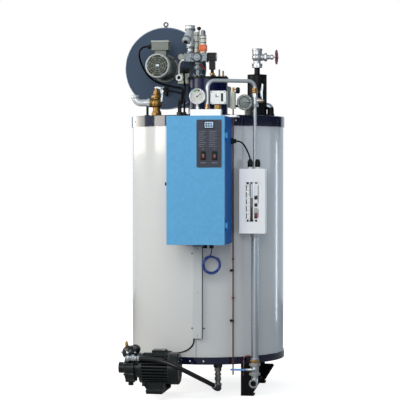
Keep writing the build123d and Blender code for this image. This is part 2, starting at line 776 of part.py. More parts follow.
# Flue spigot: a tube with a saddle collar that follows the jacket
with BuildPart() as flue_spigot:
    with BuildSketch(facing(SHELL_R + FLUE_COLLAR_REACH)):
        with Locations((0, FLUE_Z)):
            Circle(FLUE_R + FLUE_COLLAR)
    extrude(amount=FLUE_COLLAR_REACH + FLUE_INSET)
    Cylinder(SHELL_R + FIT, 3 * TOP_Z, mode=Mode.SUBTRACT)
    rod((0, SHELL_R - FLUE_INSET, FLUE_Z), (0, SHELL_R + FLUE_REACH, FLUE_Z), FLUE_R)
    rod((0, SHELL_R - FLUE_INSET + FLUE_WALL, FLUE_Z), (0, SHELL_R + FLUE_REACH, FLUE_Z), FLUE_R - FLUE_WALL,
        Mode.SUBTRACT)
save("flue_spigot", flue_spigot.part)

# Wind box on the boiler's top, its lid and two test nipples
with BuildPart() as wind_box:
    with BuildSketch(Plane.XY.offset(TOP_Z)):
        Circle(WIND_FLANGE_R)
    extrude(amount=WIND_FLANGE_T)
    with BuildSketch(Plane.XY.offset(TOP_Z)):
        Circle(WIND_R)
    extrude(amount=WIND_H)
save("wind_box", wind_box.part)

with BuildPart() as wind_box_lid:
    with BuildSketch(Plane.XY.offset(LID_Z)):
        Circle(LID_R)
    extrude(amount=LID_T)
    chamfer(wind_box_lid.edges().group_by(Axis.Z)[-1], BAND_EDGE)
save("wind_box_lid", wind_box_lid.part)

with BuildPart() as test_nipples:
    for x, height in zip(NIPPLE_X, NIPPLE_H):
        rod((x, 0, LID_TOP), (x, 0, LID_TOP + height), NIPPLE_R)
        add(hex_bar((x, 0, LID_TOP), (x, 0, LID_TOP + 2 * NIPPLE_R), 3 * NIPPLE_R))

# Fan: scroll housing with its outlet duct, front disc, intake with a guard, and lifting eye
SCROLL_B_X = FAN_X - SCROLL_STEP
SCROLL_B_R = SCROLL_R - SCROLL_STEP
SCROLL_C_Z = FAN_Z + SCROLL_STEP
SCROLL_C_R = SCROLL_B_R - SCROLL_STEP
DUCT_LOW = FAN_Z - SCROLL_R
DUCT_TOP = DUCT_LOW + DUCT_H
with BuildPart() as fan_housing:
    with BuildSketch(facing(SCROLL_FRONT)):
        with BuildLine():
            CenterArc((FAN_X, FAN_Z), SCROLL_R, 180, 90)
            CenterArc((SCROLL_B_X, FAN_Z), SCROLL_B_R, 90, 90)
            CenterArc((SCROLL_B_X, SCROLL_C_Z), SCROLL_C_R, 0, 90)
            Polyline((SCROLL_B_X + SCROLL_C_R, SCROLL_C_Z), (SCROLL_B_X + SCROLL_C_R, DUCT_TOP),
                     (DUCT_END, DUCT_TOP), (DUCT_END, DUCT_LOW), (FAN_X, DUCT_LOW))
        make_face()
    extrude(amount=-SCROLL_DEPTH)
    block((NECK_LOW, WIND_R / 2, DUCT_LOW + NECK_EDGE), (NECK_HIGH, SCROLL_FRONT, DUCT_TOP - NECK_EDGE))
    Cylinder(WIND_R + FIT, 3 * TOP_Z, mode=Mode.SUBTRACT)

with BuildPart() as fan_disc:
    with BuildSketch(facing(SCROLL_FRONT)):
        with Locations((FAN_X, FAN_Z)):
            Circle(DISC_R)
    extrude(amount=DISC_T)

with BuildPart() as fan_intake:
    with BuildSketch(facing(SCROLL_BACK)):
        with Locations((FAN_X, FAN_Z)):
            Circle(INTAKE_R)
            Circle(INTAKE_R - INTAKE_WALL, mode=Mode.SUBTRACT)
    extrude(amount=-INTAKE_LEN)
    with BuildSketch(facing(SCROLL_BACK + INTAKE_LEN - GUARD_T)):
        with Locations((FAN_X, FAN_Z)):
            Circle(INTAKE_R / 3)
            with PolarLocations(0, GUARD_BARS):
                Rectangle(2 * (INTAKE_R - INTAKE_WALL / 2), GUARD_T)
    extrude(amount=-GUARD_T)

EYE_Z = FAN_Z + DISC_R + EYE_RISE
TAB_Z = FAN_Z + SCROLL_B_R + EYE_GAP
with BuildPart() as lifting_eye:
    with BuildSketch(facing(SCROLL_FRONT + EYE_T)):
        with Locations((FAN_X, EYE_Z)):
            Circle(EYE_R)
        with Locations((FAN_X, (TAB_Z + EYE_Z) / 2)):
            Rectangle(EYE_R, EYE_Z - TAB_Z)
        with Locations((FAN_X, EYE_Z)):
            Circle(EYE_HOLE_R, mode=Mode.SUBTRACT)
    extrude(amount=EYE_T)
save("fan_housing", fan_housing.part, fan_intake.part)
save("fan_disc", fan_disc.part, lifting_eye.part)

# Fan motor, its slotted cowl and its terminal box
with BuildPart() as fan_motor:
    with BuildSketch(facing(FAN_FRONT)):
        with Locations((FAN_X, FAN_Z)):
            Circle(MOTOR_FLANGE_R)
    extrude(amount=MOTOR_FLANGE_T)
    with BuildSketch(facing(FAN_FRONT - MOTOR_FLANGE_T)):
        with Locations((FAN_X, FAN_Z)):
            Circle(MOTOR_R)
            with PolarLocations(MOTOR_R, MOTOR_FINS):
                Rectangle(2 * MOTOR_FIN_H, MOTOR_FIN_T)
    extrude(amount=MOTOR_LEN)

with BuildPart() as motor_cowl:
    with BuildSketch(facing(MOTOR_FRONT)):
        with Locations((FAN_X, FAN_Z)):
            Circle(COWL_R)
    extrude(amount=COWL_LEN)
    fillet(motor_cowl.edges().group_by(Axis.Y)[0], COWL_EDGE)
    with BuildSketch(facing(MOTOR_FRONT)):
        with Locations((FAN_X, FAN_Z)):
            Circle(COWL_R - COWL_WALL)
    extrude(amount=COWL_LEN - COWL_EDGE, mode=Mode.SUBTRACT)
    with BuildSketch(facing(MOTOR_FRONT - COWL_LEN)):
        with Locations((FAN_X, FAN_Z)):
            for ring in COWL_RINGS:
                Circle(ring + COWL_SLOT)
                Circle(ring, mode=Mode.SUBTRACT)
            with PolarLocations(0, 3):
                Rectangle(2 * COWL_R, COWL_RIB, mode=Mode.SUBTRACT)
    extrude(amount=-COWL_EDGE, mode=Mode.SUBTRACT)
save("motor_cowl", motor_cowl.part)

with BuildPart() as motor_terminal_box:
    block((FAN_X - TERMINAL_W / 3, TERMINAL_Y - TERMINAL_D / 3, FAN_Z),
          (FAN_X + TERMINAL_W / 3, TERMINAL_Y + TERMINAL_D / 3, TERMINAL_Z))
    rod((FAN_X, FAN_FRONT, FAN_Z), (FAN_X, MOTOR_FRONT, FAN_Z), MOTOR_OUT_R + FIT, Mode.SUBTRACT)
    block((FAN_X - TERMINAL_W / 2, TERMINAL_Y - TERMINAL_D / 2, TERMINAL_Z),
          (FAN_X + TERMINAL_W / 2, TERMINAL_Y + TERMINAL_D / 2, TERMINAL_Z + TERMINAL_H))
    block((FAN_X - TERMINAL_W / 2 - TERMINAL_LIP, TERMINAL_Y - TERMINAL_D / 2 - TERMINAL_LIP,
           TERMINAL_Z + TERMINAL_H),
          (FAN_X + TERMINAL_W / 2 + TERMINAL_LIP, TERMINAL_Y + TERMINAL_D / 2 + TERMINAL_LIP,
           TERMINAL_Z + TERMINAL_H + TERMINAL_LID))
    chamfer(motor_terminal_box.edges().group_by(Axis.Z)[-1], TERMINAL_LIP)
save("fan_motor", fan_motor.part, motor_terminal_box.part)

# Air pressure switch: box, cap and capsule on the fan disc, with a ring fitting for the air tube
SWITCH_Z = FAN_Z - SWITCH_DROP
SWITCH_FACE = FAN_FRONT - SWITCH_DEPTH
SWITCH_CAP_Z = SWITCH_Z + SWITCH_H
SWITCH_CAP_FACE = SWITCH_FACE + SWITCH_DEPTH / 3
BANJO_Z = SWITCH_Z + BANJO_RISE
BANJO_STEM_Y = SWITCH_FACE - BANJO_STEM_IN
with BuildPart() as air_switch:
    block((SWITCH_LOW_X, SWITCH_FACE, SWITCH_Z), (SWITCH_HIGH_X, FAN_FRONT, SWITCH_CAP_Z))
    block((SWITCH_HIGH_X - SWITCH_CAP_W, SWITCH_CAP_FACE, SWITCH_CAP_Z),
          (SWITCH_HIGH_X, FAN_FRONT, SWITCH_CAP_Z + SWITCH_CAP_H))
    rod((BANJO_X, SWITCH_FACE, BANJO_Z), (BANJO_X, SWITCH_FACE - BANJO_T, BANJO_Z), BANJO_R)
    rod((BANJO_X, BANJO_STEM_Y, BANJO_Z), (BANJO_X, BANJO_STEM_Y, BANJO_Z + BANJO_STEM_H), BANJO_STEM_R)
    rod((CAPSULE_X, FAN_FRONT, FAN_Z + CAPSULE_RISE),
        (CAPSULE_X, FAN_FRONT - CAPSULE_DEPTH, FAN_Z + CAPSULE_RISE),
        CAPSULE_R)
save("air_switch", air_switch.part)

# Gas train: strainer with the inlet socket, valve block with its coils, down pipe, solenoid
with BuildPart() as gas_strainer:
    rod((GAS_IN_X, GAS_Y, GAS_TOP_Z), (GAS_IN_X, GAS_Y, GAS_BODY_Z), GAS_NECK_R)
    rod((GAS_IN_X, GAS_Y, GAS_BODY_Z), (GAS_IN_X, GAS_Y, GAS_IN_Z), GAS_BODY_R)
    rod((GAS_IN_X, GAS_Y, GAS_IN_Z), (GAS_IN_X, GAS_Y, GAS_IN_Z + GAS_IN_H), GAS_IN_R)
    rod((GAS_IN_X, GAS_Y, GAS_IN_Z),
        (GAS_IN_X + STRAINER_SIDE, GAS_Y + STRAINER_FRONT, GAS_IN_Z - STRAINER_DROP), GAS_BODY_R)
    rod((GAS_IN_X, GAS_Y, GAS_IN_Z + GAS_IN_H - GAS_IN_DEPTH), (GAS_IN_X, GAS_Y, GAS_IN_Z + GAS_IN_H),
        GAS_IN_BORE, Mode.SUBTRACT)
save("gas_strainer", gas_strainer.part)

with BuildPart() as gas_valve:
    block((GAS_BLOCK_LOW, GAS_FRONT, GAS_BLOCK_Z), (GAS_BLOCK_HIGH, GAS_FRONT + GAS_BLOCK_D, GAS_TOP_Z))
    fillet(gas_valve.edges().filter_by(Axis.Z), GAS_EDGE)
    rod((GAS_PIPE_X, GAS_FRONT, GAS_BLOCK_Z + GAS_BLOCK_H / 2),
        (GAS_PIPE_X, GAS_FRONT - GAS_BOSS_T, GAS_BLOCK_Z + GAS_BLOCK_H / 2), GAS_BOSS_R)

with BuildPart() as gas_pipe:
    rod((GAS_PIPE_X, GAS_Y, LID_TOP), (GAS_PIPE_X, GAS_Y, GAS_BLOCK_Z), GAS_PIPE_R)
    rod((GAS_PIPE_X, GAS_Y, LID_TOP), (GAS_PIPE_X, GAS_Y, LID_TOP + GAS_FLANGE_T), GAS_FLANGE_R)

with BuildPart() as gas_actuators:
    rod((COIL_A_X, GAS_Y, GAS_TOP_Z), (COIL_A_X, GAS_Y, GAS_TOP_Z + COIL_A_H), COIL_A_R)
    rod((COIL_B_X, GAS_Y, GAS_TOP_Z), (COIL_B_X, GAS_Y, GAS_TOP_Z + COIL_B_H), COIL_B_R)
    rod((COIL_B_X, GAS_Y, GAS_TOP_Z + COIL_B_H), (COIL_B_X, GAS_Y, GAS_TOP_Z + COIL_B_H + COIL_B_CAP_H),
        COIL_B_CAP_R)
    rod((KNOB_X, GAS_Y, GAS_TOP_Z), (KNOB_X, GAS_Y, GAS_TOP_Z + KNOB_H), KNOB_STEM_R)
    with Locations((KNOB_X, GAS_Y, GAS_TOP_Z + KNOB_H + KNOB_R / 2)):
        Sphere(KNOB_R)
save("gas_valve", gas_valve.part, gas_pipe.part, gas_actuators.part)

with BuildPart() as gas_solenoid:
    rod((GAS_BLOCK_HIGH, GAS_Y, SOLENOID_Z + SOLENOID_SIZE / 2),
        (SOLENOID_LOW, GAS_Y, SOLENOID_Z + SOLENOID_SIZE / 2),
        SOLENOID_PIPE_R)
    block((SOLENOID_LOW, GAS_Y - SOLENOID_SIZE / 2, SOLENOID_Z),
          (SOLENOID_LOW + SOLENOID_SIZE, GAS_Y + SOLENOID_SIZE / 2, SOLENOID_Z + SOLENOID_SIZE))
    block((SOLENOID_X - SOLENOID_BODY / 2, GAS_Y - SOLENOID_BODY / 2, SOLENOID_Z - SOLENOID_BODY_H),
          (SOLENOID_X + SOLENOID_BODY / 2, GAS_Y + SOLENOID_BODY / 2, SOLENOID_Z))
    rod((SOLENOID_X, GAS_Y, LID_TOP), (SOLENOID_X, GAS_Y, SOLENOID_Z - SOLENOID_BODY_H), SOLENOID_PIPE_R)
save("gas_solenoid", gas_solenoid.part)

# Safety valve, discharge elbow and its support
SAFETY_BODY_TOP = TOP_Z + SAFETY_HEX_H + SAFETY_BODY_H
SAFETY_BONNET_TOP = SAFETY_BODY_TOP + SAFETY_BONNET_H
with BuildPart() as safety_valve:
    add(hex_bar((SAFETY_X, SAFETY_Y, TOP_Z), (SAFETY_X, SAFETY_Y, TOP_Z + SAFETY_HEX_H), SAFETY_HEX))
    rod((SAFETY_X, SAFETY_Y, TOP_Z + SAFETY_HEX_H), (SAFETY_X, SAFETY_Y, SAFETY_BODY_TOP), SAFETY_BODY_R)
    rod((SAFETY_X, SAFETY_Y, SAFETY_BODY_TOP), (SAFETY_X, SAFETY_Y, SAFETY_BONNET_TOP), SAFETY_BONNET_R)
    rod((SAFETY_X, SAFETY_Y, SAFETY_BONNET_TOP), (SAFETY_X, SAFETY_Y, SAFETY_BONNET_TOP + SAFETY_CAP_H),
        SAFETY_CAP_R)
    rod((SAFETY_X, SAFETY_Y, SAFETY_OUT_Z), (SAFETY_X - SAFETY_OUT_LEN, SAFETY_Y, SAFETY_OUT_Z), SAFETY_OUT_R)
save("safety_valve", safety_valve.part)

with BuildPart() as safety_lever:
    block((SAFETY_X - SAFETY_CAP_R, SAFETY_Y - SAFETY_CAP_R, SAFETY_BONNET_TOP + SAFETY_CAP_H),
          (SAFETY_X + SAFETY_LEVER_LEN, SAFETY_Y + SAFETY_CAP_R,
           SAFETY_BONNET_TOP + SAFETY_CAP_H + SAFETY_LEVER_T))
    fillet(safety_lever.edges().filter_by(Axis.Z), SAFETY_CAP_R / 2)
save("safety_lever", safety_lever.part)

with BuildPart() as safety_discharge:
    add(tube([(SAFETY_X - SAFETY_OUT_LEN, SAFETY_Y, SAFETY_OUT_Z), (DISCHARGE_X, SAFETY_Y, SAFETY_OUT_Z),
              (DISCHARGE_X, SAFETY_Y, SAFETY_OUT_Z + DISCHARGE_RISE)], DISCHARGE_TURN, DISCHARGE_R))
    rod((DISCHARGE_X, SAFETY_Y, SAFETY_OUT_Z + DISCHARGE_RISE - DISCHARGE_BEAD_T),
        (DISCHARGE_X, SAFETY_Y, SAFETY_OUT_Z + DISCHARGE_RISE), DISCHARGE_BEAD_R)
    rod((DISCHARGE_X, SAFETY_Y, SAFETY_OUT_Z + DISCHARGE_RISE - 2 * DISCHARGE_BEAD_T),
        (DISCHARGE_X, SAFETY_Y, SAFETY_OUT_Z + DISCHARGE_RISE), DISCHARGE_BORE, Mode.SUBTRACT)

with BuildPart() as discharge_support:
    rod((SUPPORT_X, SAFETY_Y, TOP_Z), (SUPPORT_X, SAFETY_Y, TOP_Z + SUPPORT_FOOT_T), SUPPORT_FOOT_R)
    rod((SUPPORT_X, SAFETY_Y, TOP_Z), (SUPPORT_X, SAFETY_Y, SAFETY_OUT_Z - DISCHARGE_R - FIT), SUPPORT_R)
save("safety_discharge", safety_discharge.part, discharge_support.part)

# Steam separator, its return bend, the steam valve and its handwheel
with BuildPart() as steam_separator:
    rod((STEAM_X, STEAM_Y, TOP_Z), (STEAM_X, STEAM_Y, SEP_TOP), SEP_R)
    fillet(steam_separator.edges().group_by(Axis.Z)[-1], SEP_EDGE)
    rod((STEAM_X, STEAM_Y, SEP_TOP), (STEAM_X, STEAM_Y, VALVE_Z), SEP_NECK_R)
save("steam_separator", steam_separator.part)

with BuildPart() as separator_return:
    add(tube([(STEAM_X + SEP_R / 2, STEAM_Y, TOP_Z + RETURN_RISE), (RETURN_X, STEAM_Y, TOP_Z + RETURN_RISE),
              (RETURN_X, STEAM_Y, TOP_Z)], RETURN_TURN, RETURN_R))
    rod((RETURN_X, STEAM_Y, TOP_Z), (RETURN_X, STEAM_Y, TOP_Z + RETURN_BAND_T), RETURN_BAND_R)
    rod((STEAM_X, STEAM_Y, TOP_Z), (STEAM_X, STEAM_Y, SEP_TOP), SEP_R + FIT, Mode.SUBTRACT)
save("separator_return", separator_return.part)

with BuildPart() as steam_valve:
    add(hex_bar((STEAM_X, STEAM_Y, VALVE_Z), (STEAM_X, STEAM_Y, VALVE_Z + VALVE_HEX_H), VALVE_HEX))
    rod((STEAM_X, STEAM_Y, VALVE_Z), (STEAM_X, STEAM_Y, STEAM_AXIS_Z), VALVE_NECK_R)
    with Locations((STEAM_X, STEAM_Y, STEAM_AXIS_Z)):
        Sphere(VALVE_BODY_R)
    rod((STEAM_X, STEAM_Y, VALVE_TOP - VALVE_SOCKET_H), (STEAM_X, STEAM_Y, VALVE_TOP), VALVE_SOCKET_R)
    with BuildSketch(Plane(origin=(STEAM_X + BONNET_START, STEAM_Y, STEAM_AXIS_Z), z_dir=(1, 0, 0))):
        Circle(BONNET_R)
    with BuildSketch(Plane(origin=(STEAM_X + BONNET_END, STEAM_Y, STEAM_AXIS_Z), z_dir=(1, 0, 0))):
        Circle(BONNET_TIP_R)
    loft()
    rod((STEAM_X + BONNET_END, STEAM_Y, STEAM_AXIS_Z), (STEAM_X + GLAND_NUT_END, STEAM_Y, STEAM_AXIS_Z),
        GLAND_NUT_R)
    rod((STEAM_X + BONNET_END, STEAM_Y, STEAM_AXIS_Z), (STEAM_X + STEM_END, STEAM_Y, STEAM_AXIS_Z), STEM_R)
    rod((STEAM_X, STEAM_Y, VALVE_TOP - VALVE_BORE_DEPTH), (STEAM_X, STEAM_Y, VALVE_TOP), VALVE_BORE,
        Mode.SUBTRACT)
save("steam_valve", steam_valve.part)

WHEEL_X = STEAM_X + WHEEL_OFFSET
with BuildPart() as handwheel:
    with Locations(Plane(origin=(WHEEL_X, STEAM_Y, STEAM_AXIS_Z), z_dir=(1, 0, 0)).location):
        Torus(WHEEL_R, WHEEL_RIM_R)
        with PolarLocations(0, WHEEL_SPOKES):
            Cylinder(WHEEL_SPOKE_R, WHEEL_R, rotation=(0, 90, 0),
                     align=(Align.CENTER, Align.CENTER, Align.MIN))
    rod((WHEEL_X - WHEEL_HUB_T / 2, STEAM_Y, STEAM_AXIS_Z),
        (WHEEL_X + WHEEL_HUB_T / 2, STEAM_Y, STEAM_AXIS_Z),
        WHEEL_HUB_R)
    rod((WHEEL_X - WHEEL_HUB_T, STEAM_Y, STEAM_AXIS_Z), (WHEEL_X + WHEEL_HUB_T, STEAM_Y, STEAM_AXIS_Z),
        STEM_R + RUN, Mode.SUBTRACT)
save("handwheel", handwheel.part)

# Control cabinet: open box with a lip, saddle rails to the jacket, mounting plate inside
with BuildPart() as control_cabinet:
    block((CAB_LEFT, BOX_FRONT, CAB_Z), (CAB_RIGHT, CAB_BACK, CAB_TOP))
    fillet(control_cabinet.edges().filter_by(Axis.Y), CAB_EDGE)
    block((CAB_LEFT + CAB_WALL, BOX_FRONT + CAB_WALL, CAB_Z + CAB_WALL),
          (CAB_RIGHT - CAB_WALL, CAB_BACK - CAB_WALL, CAB_TOP - CAB_WALL), Mode.SUBTRACT)
    block((CAB_LEFT + CAB_LIP, BOX_FRONT - CAB_WALL, CAB_Z + CAB_LIP),
          (CAB_RIGHT - CAB_LIP, BOX_FRONT + 2 * CAB_WALL, CAB_TOP - CAB_LIP), Mode.SUBTRACT)

with BuildPart() as cabinet_rails:
    for z in (CAB_Z + RAIL_INSET, CAB_TOP - RAIL_INSET - RAIL_H):
        block((CAB_LEFT + RAIL_EDGE, CAB_BACK, z), (CAB_RIGHT - RAIL_EDGE, -SHELL_R / 2, z + RAIL_H))
    Cylinder(SHELL_R + FIT, 3 * TOP_Z, mode=Mode.SUBTRACT)

PLATE_Y = CAB_BACK - CAB_WALL - PLATE_STANDOFF
with BuildPart() as mounting_plate:
    block((CAB_LEFT + PLATE_EDGE, PLATE_Y - CAB_WALL, CAB_Z + PLATE_EDGE),
          (CAB_RIGHT - PLATE_EDGE, PLATE_Y, CAB_TOP - PLATE_EDGE))
    for x in (CAB_LEFT + 2 * PLATE_EDGE, CAB_RIGHT - 2 * PLATE_EDGE):
        for z in (CAB_Z + 2 * PLATE_EDGE, CAB_TOP - 2 * PLATE_EDGE):
            rod((x, PLATE_Y, z), (x, PLATE_Y + PLATE_STANDOFF, z), SPACER_R)

HINGE_ZS = (CAB_Z + HINGE_INSET, CAB_TOP - HINGE_INSET)
HINGE_SPAN = HINGE_LEN / 2 + RUN
with BuildPart() as cabinet_hinges:
    for z in HINGE_ZS:
        for low, high in ((z - HINGE_SPAN - HINGE_END, z - HINGE_SPAN),
                          (z + HINGE_SPAN, z + HINGE_SPAN + HINGE_END)):
            rod((HINGE_X, HINGE_Y, low), (HINGE_X, HINGE_Y, high), HINGE_R)
            block((CAB_RIGHT, HINGE_Y, low), (CAB_RIGHT + HINGE_LEAF, BOX_FRONT + HINGE_LEAF_W, high))
        rod((HINGE_X, HINGE_Y, z - HINGE_SPAN - HINGE_END), (HINGE_X, HINGE_Y, z + HINGE_SPAN + HINGE_END),
            HINGE_PIN_R)
save("control_cabinet", control_cabinet.part, cabinet_hinges.part)
save("cabinet_frame", cabinet_rails.part, mounting_plate.part)

# Door: a tray on two hinges with the control panel, display, rocker switches and latch
with BuildPart() as cabinet_door:
    block((CAB_LEFT, CAB_FRONT, CAB_Z), (CAB_RIGHT, CAB_FRONT + DOOR_D, CAB_TOP))
    fillet(cabinet_door.edges().filter_by(Axis.Y), CAB_EDGE)
    fillet(cabinet_door.edges().group_by(Axis.Y)[0], CAB_EDGE / 2)
    block((CAB_LEFT + CAB_WALL, CAB_FRONT + CAB_WALL, CAB_Z + CAB_WALL),
          (CAB_RIGHT - CAB_WALL, CAB_FRONT + 2 * DOOR_D, CAB_TOP - CAB_WALL), Mode.SUBTRACT)

with BuildPart() as door_hinges:
    for z in HINGE_ZS:
        rod((HINGE_X, HINGE_Y, z - HINGE_LEN / 2), (HINGE_X, HINGE_Y, z + HINGE_LEN / 2), HINGE_R)
        block((CAB_RIGHT, CAB_FRONT + CAB_EDGE, z - HINGE_LEN / 2),
              (CAB_RIGHT + HINGE_LEAF, HINGE_Y, z + HINGE_LEN / 2))
        rod((HINGE_X, HINGE_Y, z - HINGE_LEN), (HINGE_X, HINGE_Y, z + HINGE_LEN), HINGE_PIN_R + RUN,
            Mode.SUBTRACT)
save("cabinet_door", cabinet_door.part, door_hinges.part)

with BuildPart() as control_panel:
    with BuildSketch(facing(CAB_FRONT)):
        with Locations((PANEL_X, PANEL_Z)):
            RectangleRounded(PANEL_W, PANEL_H, PANEL_EDGE)
    extrude(amount=PANEL_T)
save("control_panel", control_panel.part)

with BuildPart() as display_window:
    with BuildSketch(facing(PANEL_FRONT)):
        with Locations((PANEL_X, PANEL_TOP - DISPLAY_DROP - DISPLAY_H / 2)):
            RectangleRounded(DISPLAY_W, DISPLAY_H, PANEL_EDGE / 2)
    extrude(amount=DISPLAY_T)
save("display_window", display_window.part)

ROCKER_Z = PANEL_TOP - PANEL_H + ROCKER_RISE + ROCKER_H / 2
with BuildPart() as rocker_switches:
    for x in (PANEL_X - ROCKER_PITCH / 2, PANEL_X + ROCKER_PITCH / 2):
        with BuildSketch(facing(PANEL_FRONT)):
            with Locations((x, ROCKER_Z)):
                Rectangle(ROCKER_W, ROCKER_H)
        extrude(amount=ROCKER_T)
    chamfer(rocker_switches.edges().group_by(Axis.Y)[0], ROCKER_T / 4)
save("rocker_switches", rocker_switches.part)

LATCH_Y = CAB_FRONT + LATCH_IN
LATCH_Z = CAB_Z + LATCH_RISE
LATCH_FACE = CAB_LEFT - LATCH_T
with BuildPart() as door_latch:
    rod((CAB_LEFT, LATCH_Y, LATCH_Z), (LATCH_FACE, LATCH_Y, LATCH_Z), LATCH_R)
    block((LATCH_FACE - LATCH_GRIP_T, LATCH_Y - LATCH_GRIP_W / 2, LATCH_Z - LATCH_GRIP_H / 2),
          (LATCH_FACE, LATCH_Y + LATCH_GRIP_W / 2, LATCH_Z + LATCH_GRIP_H / 2))
save("door_latch", door_latch.part)

# Cable glands on the cabinet, the fan motor, the fan disc, the air switch and the gauge box
GLAND_Z = CAB_TOP - SIDE_GLAND_DROP
BOX_GLAND_Y = BOX_FACE + BOX_GLAND_IN
with BuildPart() as cabinet_glands:
    gland((CAB_RIGHT, SIDE_GLAND_Y, GLAND_Z), (1, 0, 0))
    for x, depth in zip(UPPER_GLAND_X, UPPER_GLAND_IN):
        gland((x, CAB_BACK - depth, CAB_TOP), (0, 0, 1))
    for x in LOWER_GLAND_X:
        gland((x, LOWER_GLAND_Y, CAB_Z), (0, 0, -1))

with BuildPart() as motor_gland:
    gland((FAN_X - TERMINAL_W / 2, TERMINAL_Y, TERMINAL_Z + TERMINAL_H / 2), (-1, 0, 0))

with BuildPart() as burner_glands:
    gland((DISC_GLAND_X, FAN_FRONT, FAN_Z - DISC_GLAND_DROP), (0, -1, 0))
    gland((SWITCH_HIGH_X - SWITCH_CAP_W / 2, SWITCH_CAP_FACE, SWITCH_CAP_Z + SWITCH_CAP_H / 2), (0, -1, 0))

with BuildPart() as gauge_glands:
    for x in BOX_GLAND_X:
        gland((x, BOX_GLAND_Y, BOX_TOP), (0, 0, 1))
save("cable_glands", cabinet_glands.part, motor_gland.part, burner_glands.part, gauge_glands.part)

with BuildPart() as cable_trunking:
    block((TRUNK_LEFT, TRUNK_FRONT, TRUNK_Z), (TRUNK_LEFT + TRUNK_W, -SHELL_R / 2, TRUNK_TOP))
    chamfer(cable_trunking.faces().sort_by(Axis.Y)[0].edges(), TRUNK_EDGE)
    Cylinder(SHELL_R + FIT, 3 * TOP_Z, mode=Mode.SUBTRACT)
save("cable_trunking", cable_trunking.part)

# Instruments: bracket on the cabinet, pressure gauge, pressure switch and impulse pipe
BRACKET_FRONT = BRACKET_Y - BRACKET_D / 2
BRACKET_RIGHT = BRACKET_LEFT + BRACKET_W
with BuildPart() as gauge_bracket:
    block((BRACKET_LEFT, BRACKET_FRONT, CAB_TOP), (BRACKET_RIGHT, BRACKET_FRONT + BRACKET_D, BRACKET_TOP))
    block((BRACKET_LEFT - BRACKET_WALL, BRACKET_FRONT + BRACKET_WALL, CAB_TOP - BRACKET_WALL),
          (BRACKET_RIGHT + BRACKET_WALL, BRACKET_FRONT + BRACKET_D - BRACKET_WALL,
           BRACKET_TOP - BRACKET_WALL),
          Mode.SUBTRACT)

GAUGE_Z = BRACKET_TOP + GAUGE_RISE
with BuildPart() as pressure_gauge:
    with BuildSketch(facing(BRACKET_Y + GAUGE_D / 2)):
        with Locations((GAUGE_X, GAUGE_Z)):
            Circle(GAUGE_R)
    extrude(amount=GAUGE_D)
    fillet(pressure_gauge.edges().group_by(Axis.Y)[-1], GAUGE_BEZEL)
    with BuildSketch(facing(BRACKET_Y - GAUGE_D / 2)):
        with Locations((GAUGE_X, GAUGE_Z)):
            Circle(GAUGE_R - GAUGE_BEZEL)
    extrude(amount=-GAUGE_RECESS, mode=Mode.SUBTRACT)
    rod((GAUGE_X, BRACKET_Y, BRACKET_TOP), (GAUGE_X, BRACKET_Y, GAUGE_Z - GAUGE_R / 2), GAUGE_STEM_R)
    add(hex_bar((GAUGE_X, BRACKET_Y, BRACKET_TOP), (GAUGE_X, BRACKET_Y, BRACKET_TOP + GAUGE_HEX_H),
                GAUGE_HEX))
save("pressure_gauge", pressure_gauge.part)

PSWITCH_Z = BRACKET_TOP + PSWITCH_RISE
with BuildPart() as pressure_switch:
    block((PSWITCH_X - PSWITCH_W / 2, BRACKET_Y - PSWITCH_D / 2, PSWITCH_Z),
          (PSWITCH_X + PSWITCH_W / 2, BRACKET_Y + PSWITCH_D / 2, PSWITCH_Z + PSWITCH_H))
    fillet(pressure_switch.edges().filter_by(Axis.Y), PSWITCH_EDGE)
save("pressure_switch", pressure_switch.part)

with BuildPart() as switch_fitting:
    add(hex_bar((PSWITCH_X - PSWITCH_HEX / 2, BRACKET_Y, BRACKET_TOP),
                (PSWITCH_X - PSWITCH_HEX / 2, BRACKET_Y, PSWITCH_Z),
                PSWITCH_HEX))
save("brass_fittings", test_nipples.part, switch_fitting.part)

with BuildPart() as impulse_pipe:
    add(tube([(IMPULSE_X, BRACKET_Y, BRACKET_TOP), (IMPULSE_X, BRACKET_Y, IMPULSE_Z),
              (COLUMN_X, COLUMN_Y, IMPULSE_Z),
              (COLUMN_X, COLUMN_Y, IMPULSE_END)], IMPULSE_TURN, IMPULSE_R))
save("impulse_pipe", impulse_pipe.part)

# Gauge cock with its lever
COCK_STEM_X = COLUMN_X + COCK_BODY_R + COCK_END_LEN
COCK_LEVER_X = COCK_STEM_X + RUN
with BuildPart() as gauge_cock:
    rod((COLUMN_X, COLUMN_Y, COCK_LOW), (COLUMN_X, COLUMN_Y, COCK_TOP), COCK_BODY_R)
    add(hex_bar((COLUMN_X, COLUMN_Y, COCK_TOP), (COLUMN_X, COLUMN_Y, IMPULSE_END), COCK_NUT))
    rod((COLUMN_X, COLUMN_Y, COCK_Z), (COCK_STEM_X, COLUMN_Y, COCK_Z), COCK_END_R)
    rod((COCK_STEM_X, COLUMN_Y, COCK_Z), (COCK_STEM_X + COCK_STEM_LEN, COLUMN_Y, COCK_Z), COCK_STEM_R)
    rod((COLUMN_X, COLUMN_Y, COCK_Z), (LEVEL_X, COLUMN_Y, COCK_Z), COCK_END_R)
    rod((LEVEL_X, LEVEL_FRONT - LEVEL_RIM_T, LEVEL_Z), (LEVEL_X, 0, LEVEL_Z), LEVEL_RIM_R + FIT,
        Mode.SUBTRACT)
save("gauge_cock", gauge_cock.part)

